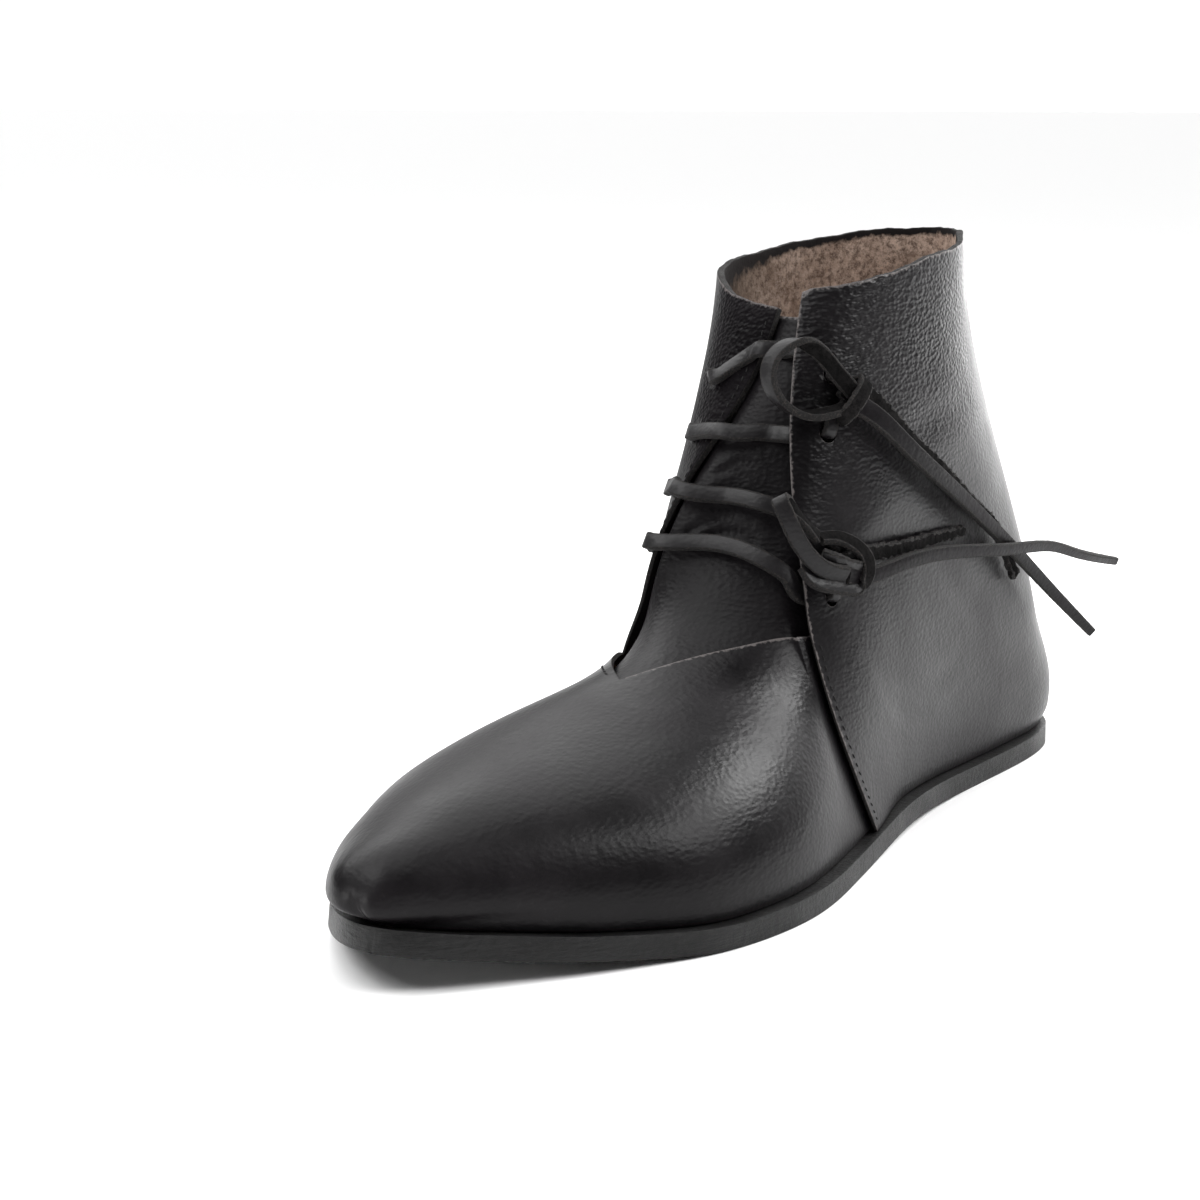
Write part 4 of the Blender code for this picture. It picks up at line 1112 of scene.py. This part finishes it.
def meshPiece(name, points, faces, materials, looks):
    mesh = bpy.data.meshes.new(name)
    mesh.from_pydata(points.tolist(), [], faces)
    mesh.polygons.foreach_set("material_index", looks)
    for material in materials:
        mesh.materials.append(material)
    mesh.update()
    piece = bpy.data.objects.new(name, mesh)
    bpy.context.scene.collection.objects.link(piece)
    pickOnly(piece)
    bpy.ops.object.mode_set(mode="EDIT")
    bpy.ops.mesh.select_all(action="SELECT")
    bpy.ops.mesh.normals_make_consistent(inside=False)
    bpy.ops.object.mode_set(mode="OBJECT")
    return piece


def joinPieces(name, parts, degrees):
    pickOnly(*parts)
    if len(parts) > 1:
        bpy.ops.object.join()
    joined = bpy.context.object
    joined.name = name
    joined.data.name = name
    smoothShade(joined, degrees)
    return joined


def onWall(side, q, height, lift):
    v = shareAtHeight(side, q, height)
    normal = wallNormal(side, q, v)
    return np.concatenate([wall(side, q, v) + normal * lift, normal])


def evenStrap(name, line, across, width, rough):
    route = smoothRoute(np.hstack([line, np.broadcast_to(across, line.shape)]), thong["step"])
    return strapMesh(name, route, np.full(len(route), width), thong["thickness"], rough)


def crossing(row, number):
    innerHole, ridge, flap, outerHole, edge = row
    over = lacingGap["over"]
    onTongue = over - lastSizes["leather"] - tongueCut["gap"]
    ridgeQ = np.linspace(throatQ, collarQ, 200)
    ridgeQ = float(np.interp(ridge, wall(outer, ridgeQ, np.ones(200))[:, 2], ridgeQ))
    innerQ, innerV = holePlace(inner, innerHole)
    outerQ = holePlace(outer, outerHole)[0]
    edgeV = shareAtHeight(inner, frontQ[inner], edge)
    gap = np.linalg.norm(wall(inner, frontQ[inner], edgeV) - wall(inner, ridgeQ, 1.0))
    clear = min(0.7, lacingGap["edgeRun"] / gap)
    stations = [onWall(inner, innerQ - 0.010, innerHole, over - 0.9)]
    rises = ((0.0, over - 0.6), (clear / 2, over - 0.7), (clear, onTongue + 1.0), (0.85, onTongue))
    for share, lift in rises:
        q = frontQ[inner] + (ridgeQ - frontQ[inner]) * share
        stations.append(onWall(inner, q, edge + (ridge - edge) * share, lift))
    for stop in (0.0, 0.4, 0.8, 1.0, 1.5, 1.95):
        q = float(np.interp(stop, (0, 1, 2), (ridgeQ, frontQ[outer], outerQ)))
        height = float(np.interp(stop, (0, 1, 2), (ridge, flap, outerHole)))
        stations.append(onWall(outer, q, height, onTongue))
    line = smoothRoute(stations, thong["step"])
    across = np.cross(unit(line[:, 3:]), unit(np.gradient(line[:, :3], axis=0)))
    normal = wallNormal(inner, innerQ, innerV)
    innerPoint = wall(inner, innerQ, innerV)
    inside = np.array([innerPoint + normal * depth for depth in (-3.4, -1.6, 0.3)])
    inside = np.hstack([inside, np.broadcast_to(across[0], inside.shape)])
    route = smoothRoute(np.vstack([inside, np.hstack([line[:, :3], across])[::3]]), thong["step"])
    widths = np.full(len(route), thong["width"])
    return strapMesh(f"crossing{number}", route, widths, thong["thickness"], 0.03)


def insideRun(first, second):
    points = []
    for share in (0.0, 0.15, 0.5, 0.85, 1.0):
        height = crossingRows[first][0] + (crossingRows[second][0] - crossingRows[first][0]) * share
        q, v = holePlace(inner, height)
        points.append(wall(inner, q, v) - wallNormal(inner, q, v) * (3.2 + 0.5 * math.sin(math.pi * share)))
    return evenStrap("insideRun", np.array(points), (0.1, 1.0, 0.0), thong["width"], 0.03)


def stub(number, heights, shift):
    hole, v = holePlace(outer, crossingRows[number][3])
    normal = wallNormal(outer, hole, v)
    point = wall(outer, hole, v) + normal * quarterLift(outer, hole, v)
    line = [point - normal * 3.6, point - normal * 1.2, point + normal * 0.6]
    for share, height in zip((0.35, 0.7, 1.0), heights):
        q = hole + shift * share
        v = shareAtHeight(outer, q, height)
        line.append(wall(outer, q, v) + wallNormal(outer, q, v) * (quarterLift(outer, q, v) + 1.1))
    line = np.array(line)
    return evenStrap("stub", line, np.cross(normal, unit(line[-1] - line[2])), 3.2, 0.05)


# at each tie: screen-like axes that run along the boot's side, up, and out to its front corner
tieAxes = np.array(((0.857, 0.516, 0.0), (-0.095, 0.158, 0.983), (0.507, -0.842, 0.184)))
tieMiddles = {"upper": np.array((26.4, 1.7, 105.2)), "lower": np.array((30.7, -10.3, 68.0))}


def fromTie(tie, points):
    return tieMiddles[tie] + np.asarray(points, float) @ tieAxes


def tieRoute(tie, rows):
    rows = np.asarray(rows, float)
    return np.hstack([fromTie(tie, rows[:, :3]), rows[:, 3:] @ tieAxes])


lacings = [crossing(row, number) for number, row in enumerate(crossingRows, 1)]
lacings += [insideRun(0, 1), insideRun(2, 3)]
lacings += [stub(0, (108.8, 107.4, 106.0), 0.012), stub(1, (98.6, 100.2, 101.8), 0.003)]
lacings += [stub(2, (71.6, 70.2, 68.8), 0.012), stub(3, (62.2, 63.6, 65.0), 0.002)]
upperLacing = joinPieces("upperLacing", [lacings[k] for k in (0, 1, 4, 6, 7)], 45)
lowerLacing = joinPieces("lowerLacing", [lacings[k] for k in (2, 3, 5, 8, 9)], 45)
declare(upperLacing, "lace_leather", "lace_bar_1", "lace_bar_2")
declare(lowerLacing, "lace_leather", "lace_bar_3", "lace_bar_4")

upperBand = {
    "long": (0.20, 0.72, 0.67), "out": (0.89, -0.42, 0.19), "halfLong": 5.6, "halfOut": 2.5, "width": 3.8,
}
lowerBand = (  # along, up, out in millimetres, then the width direction
    (-5.6, 6.6, 1.7, -0.55, -0.40, 0.73),
    (-1.1, 6.9, -0.4, -0.55, -0.40, 0.73),
    (2.6, 5.4, -1.9, -0.60, -0.40, 0.70),
    (5.2, 3.0, -3.1, -0.70, -0.35, 0.62),
    (6.0, -0.7, -3.6, -0.75, -0.30, 0.60),
    (4.2, -4.1, -2.9, -0.60, -0.45, 0.66),
    (0.0, -4.3, 0.5, -0.50, -0.55, 0.67),
    (-4.2, -3.8, 3.8, -0.50, -0.55, 0.67),
    (-7.9, -2.3, 5.8, -0.50, -0.45, 0.73),
    (-9.4, 0.1, 5.6, -0.50, -0.40, 0.76),
)
lowerTuck = (
    (-5.2, 2.9, 3.9, 0.2, 0.9, 0.4),
    (-2.4, 2.1, 3.2, 0.2, 0.9, 0.4),
    (1.0, 0.9, 0.6, 0.1, 0.9, 0.4),
    (4.2, 0.4, -3.0, 0.1, 0.9, 0.4),
)


def wrapBand(name, middle, band):
    out = unit(np.array(band["out"]))
    long = np.array(band["long"])
    long = unit(long - out * np.dot(long, out))
    cross = np.cross(out, long)
    turns = np.radians(np.linspace(-95, 275, 48))
    line = middle + long * (band["halfLong"] * np.cos(turns))[:, None]
    line = line + out * (band["halfOut"] * np.sin(turns))[:, None]
    line = line + cross * np.linspace(0.9, -0.9, len(turns))[:, None]
    route = np.hstack([line, np.broadcast_to(cross, line.shape)])
    return strapMesh(name, route, np.full(len(route), band["width"]), 1.6, 0.16)


upperKnot = joinPieces("upperKnot", [wrapBand("upperKnot", tieMiddles["upper"], upperBand)], 45)
ring = smoothRoute(tieRoute("lower", lowerBand), thong["step"])
tuck = smoothRoute(tieRoute("lower", lowerTuck), thong["step"])
lowerParts = [strapMesh("lowerRing", ring, np.full(len(ring), 3.8), 1.7, 0.06)]
lowerParts.append(strapMesh("lowerTuck", tuck, np.full(len(tuck), 2.8), 1.7, 0.25))
lowerKnot = joinPieces("lowerKnot", lowerParts, 45)
declare(upperKnot, "lace_leather", "upper_knot")
declare(lowerKnot, "lace_leather", "lower_knot")

tieRows = {  # node, first and last width, roughness, route of the middle line with the width direction
    "upperLoop": ("upper_loop", 4.0, 4.0, 0.05, (
        (26.2, 0.2, 103.6, -0.94, 0.27, 0.19),
        (24.6, -2.7, 103.0, -0.94, 0.27, 0.19),
        (19.3, -7.7, 102.2, -0.94, 0.27, 0.19),
        (15.6, -11.1, 104.4, -0.94, 0.27, 0.19),
        (12.7, -12.8, 109.0, -0.94, 0.27, 0.19),
        (12.0, -11.9, 113.8, -0.94, 0.27, 0.19),
        (13.6, -9.0, 117.4, -0.92, 0.20, 0.10),
        (16.4, -5.6, 118.6, -0.88, 0.05, -0.10),
        (19.8, -3.0, 116.6, -0.75, -0.30, -0.45),
        (22.7, -1.4, 112.8, -0.57, -0.49, -0.66),
        (25.2, 0.4, 109.2, -0.57, -0.49, -0.66),
        (26.9, 2.4, 106.4, -0.57, -0.49, -0.66))),
    "upperTailLong": ("upper_tail_long", 4.9, 2.6, 0.03, (
        (26.8, 0.6, 105.0, 0.0, 0.49, 0.87),
        (28.8, 3.7, 103.1, 0.0, 0.49, 0.87),
        (32.8, 15.3, 94.8, 0.0, 0.49, 0.87),
        (34.8, 40.1, 80.8, 0.0, 0.49, 0.87),
        (35.3, 60.2, 70.1, 0.0, 0.49, 0.87),
        (35.7, 75.5, 61.7, 0.1, 0.49, 0.87),
        (36.4, 101.8, 46.6, 0.35, 0.45, 0.80),
        (38.0, 130.0, 30.1, 0.55, 0.40, 0.70))),
    "upperTailShort": ("upper_tail_short", 4.2, 3.0, 0.34, (
        (26.0, 3.0, 107.2, 0.0, -0.49, -0.87),
        (26.9, 6.6, 106.2, 0.0, -0.49, -0.87),
        (30.4, 21.0, 96.0, 0.0, -0.49, -0.87),
        (32.0, 38.0, 86.0, 0.0, -0.49, -0.87),
        (32.4, 58.0, 74.6, 0.0, -0.49, -0.87),
        (32.8, 75.0, 64.4, 0.0, -0.49, -0.87),
        (33.6, 85.0, 52.0, 0.0, -0.80, -0.50))),
    "lowerTailLong": ("lower_tail_long", 4.0, 2.2, 0.03, (
        (31.8, -10.6, 66.6, 0.0, 0.0, 1.0),
        (32.4, -6.0, 65.4, 0.0, 0.0, 1.0),
        (33.6, 1.0, 65.3, 0.0, 0.0, 1.0),
        (35.2, 12.9, 66.3, 0.0, 0.0, 1.0),
        (37.0, 39.0, 65.3, 0.0, 0.0, 1.0),
        (38.6, 69.4, 61.7, 0.1, 0.0, 1.0),
        (38.8, 99.0, 58.1, 0.3, 0.0, 0.9),
        (38.5, 114.0, 54.4, 0.5, 0.0, 0.8),
        (38.0, 147.0, 47.2, 0.3, 0.0, 0.9))),
    "lowerTailShort": ("lower_tail_short", 4.0, 2.6, 0.34, (
        (30.6, -9.0, 69.6, 0.0, 0.0, -1.0),
        (30.9, -5.2, 69.9, 0.0, 0.0, -1.0),
        (32.4, 12.0, 69.2, 0.0, 0.0, -1.0),
        (32.6, 30.0, 68.8, 0.0, 0.0, -1.0),
        (32.9, 52.3, 68.3, 0.0, 0.0, -1.0))),
}
lowerLoop = (  # from the knot up the front strand, over the fold and down the back strand
    (0.5, -1.3, 1.5, -0.86, -0.50, 0.10),
    (-4.8, -0.2, 5.3, -0.86, -0.50, 0.10),
    (-7.7, 1.8, 7.3, -0.86, -0.50, 0.10),
    (-11.7, 7.2, 9.9, -0.88, -0.47, 0.05),
    (-14.4, 13.0, 10.9, -0.89, -0.45, 0.00),
    (-15.2, 15.2, 10.2, -0.89, -0.45, 0.00),
    (-14.4, 15.0, 8.7, -0.85, -0.42, 0.30),
    (-12.4, 13.2, 7.4, -0.55, -0.25, 0.80),
    (-9.0, 9.6, 5.0, -0.25, -0.10, 0.96),
    (-6.3, 7.0, 2.4, -0.40, -0.25, 0.88),
)


def makeTie(name, node, startWidth, endWidth, rough, rows):
    route = smoothRoute(rows, thong["step"])
    widths = np.linspace(startWidth, endWidth, len(route))
    dull = 0.9 if "Tail" in name else 0.2
    strap = joinPieces(name, [strapMesh(name, route, widths, thong["thickness"], rough, dull)], 45)
    declare(strap, "lace_leather", node)
    line = route[:, :3] * mm
    length = float(np.sum(np.linalg.norm(np.diff(line, axis=0), axis=1)))
    return name, round(length, 3)


lengths = [makeTie(name, *row) for name, row in tieRows.items()]
lengths.append(makeTie("lowerLoop", "lower_loop", 4.0, 4.0, 0.04, tieRoute("lower", lowerLoop)))
print("thongs:", lengths)


# stitches

stitchSize = {"length": 1.5, "thick": 0.46, "pitch": 2.4, "setBack": 2.4}


def stitchRow(points, normals, pitch):
    runs = runLengths(points)
    places = np.arange(pitch / 2, runs[-1], pitch)
    spots = alongLine(places, runs, points)
    ahead = alongLine(places + 0.4, runs, points) - spots
    return spots, unit(ahead), unit(alongLine(places, runs, normals))


def sewRows(name, rows):
    bpy.ops.mesh.primitive_uv_sphere_add(segments=8, ring_count=6, radius=1.0)
    seed = bpy.context.object
    shape = np.array([vertex.co for vertex in seed.data.vertices])
    corners = [tuple(face.vertices) for face in seed.data.polygons]
    bpy.data.objects.remove(seed, do_unlink=True)
    half = np.array((stitchSize["length"] / 2, stitchSize["thick"] / 2, stitchSize["thick"] * 0.42))
    local = shape * half
    points = []
    faces = []
    for spots, ahead, ups in rows:
        for spot, along, up in zip(spots, ahead, ups):
            slant = unit(along + 0.28 * np.cross(up, along))
            side = np.cross(up, slant)
            base = len(points)
            points += list(spot + local[:, :1] * slant + local[:, 1:2] * side + local[:, 2:3] * up)
            faces += [tuple(base + k for k in corner) for corner in corners]
    sewn = meshPiece(name, np.array(points) * mm, faces, [threadWax], [0] * len(faces))
    smoothShade(sewn, 60)
    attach(sewn, "root")
    return sewn


def edgeSeam(side, low, high):
    shares = np.linspace(low, high, 90)
    points = []
    normals = []
    for v in shares:
        q = setBack(side, v, stitchSize["setBack"]) + edgeRetreat(side, v)
        normal = wallNormal(side, q, v)
        points.append(wall(side, q, v) + normal * (quarterLift(side, q, v) + 0.02))
        normals.append(normal)
    return stitchRow(np.array(points), np.array(normals), stitchSize["pitch"])


def vampSeam(side):
    q = np.linspace(throatQ + 0.006, frontQ[side] - 0.004, 60)
    v = edgeShare(side, q, throatSpread(side, q) + stitchSize["setBack"])
    normal = wallNormal(side, q, v)
    points = wall(side, q, v)
    return stitchRow(points + normal * (creaseDepth(points)[..., None] + 0.02), normal, stitchSize["pitch"])


seams = [edgeSeam(outer, 0.02, frontShare[outer] - 0.02), edgeSeam(inner, 0.02, 0.985), vampSeam(inner)]
stitches = sewRows("stitches", seams)
print("stitches:", len(stitches.data.polygons))
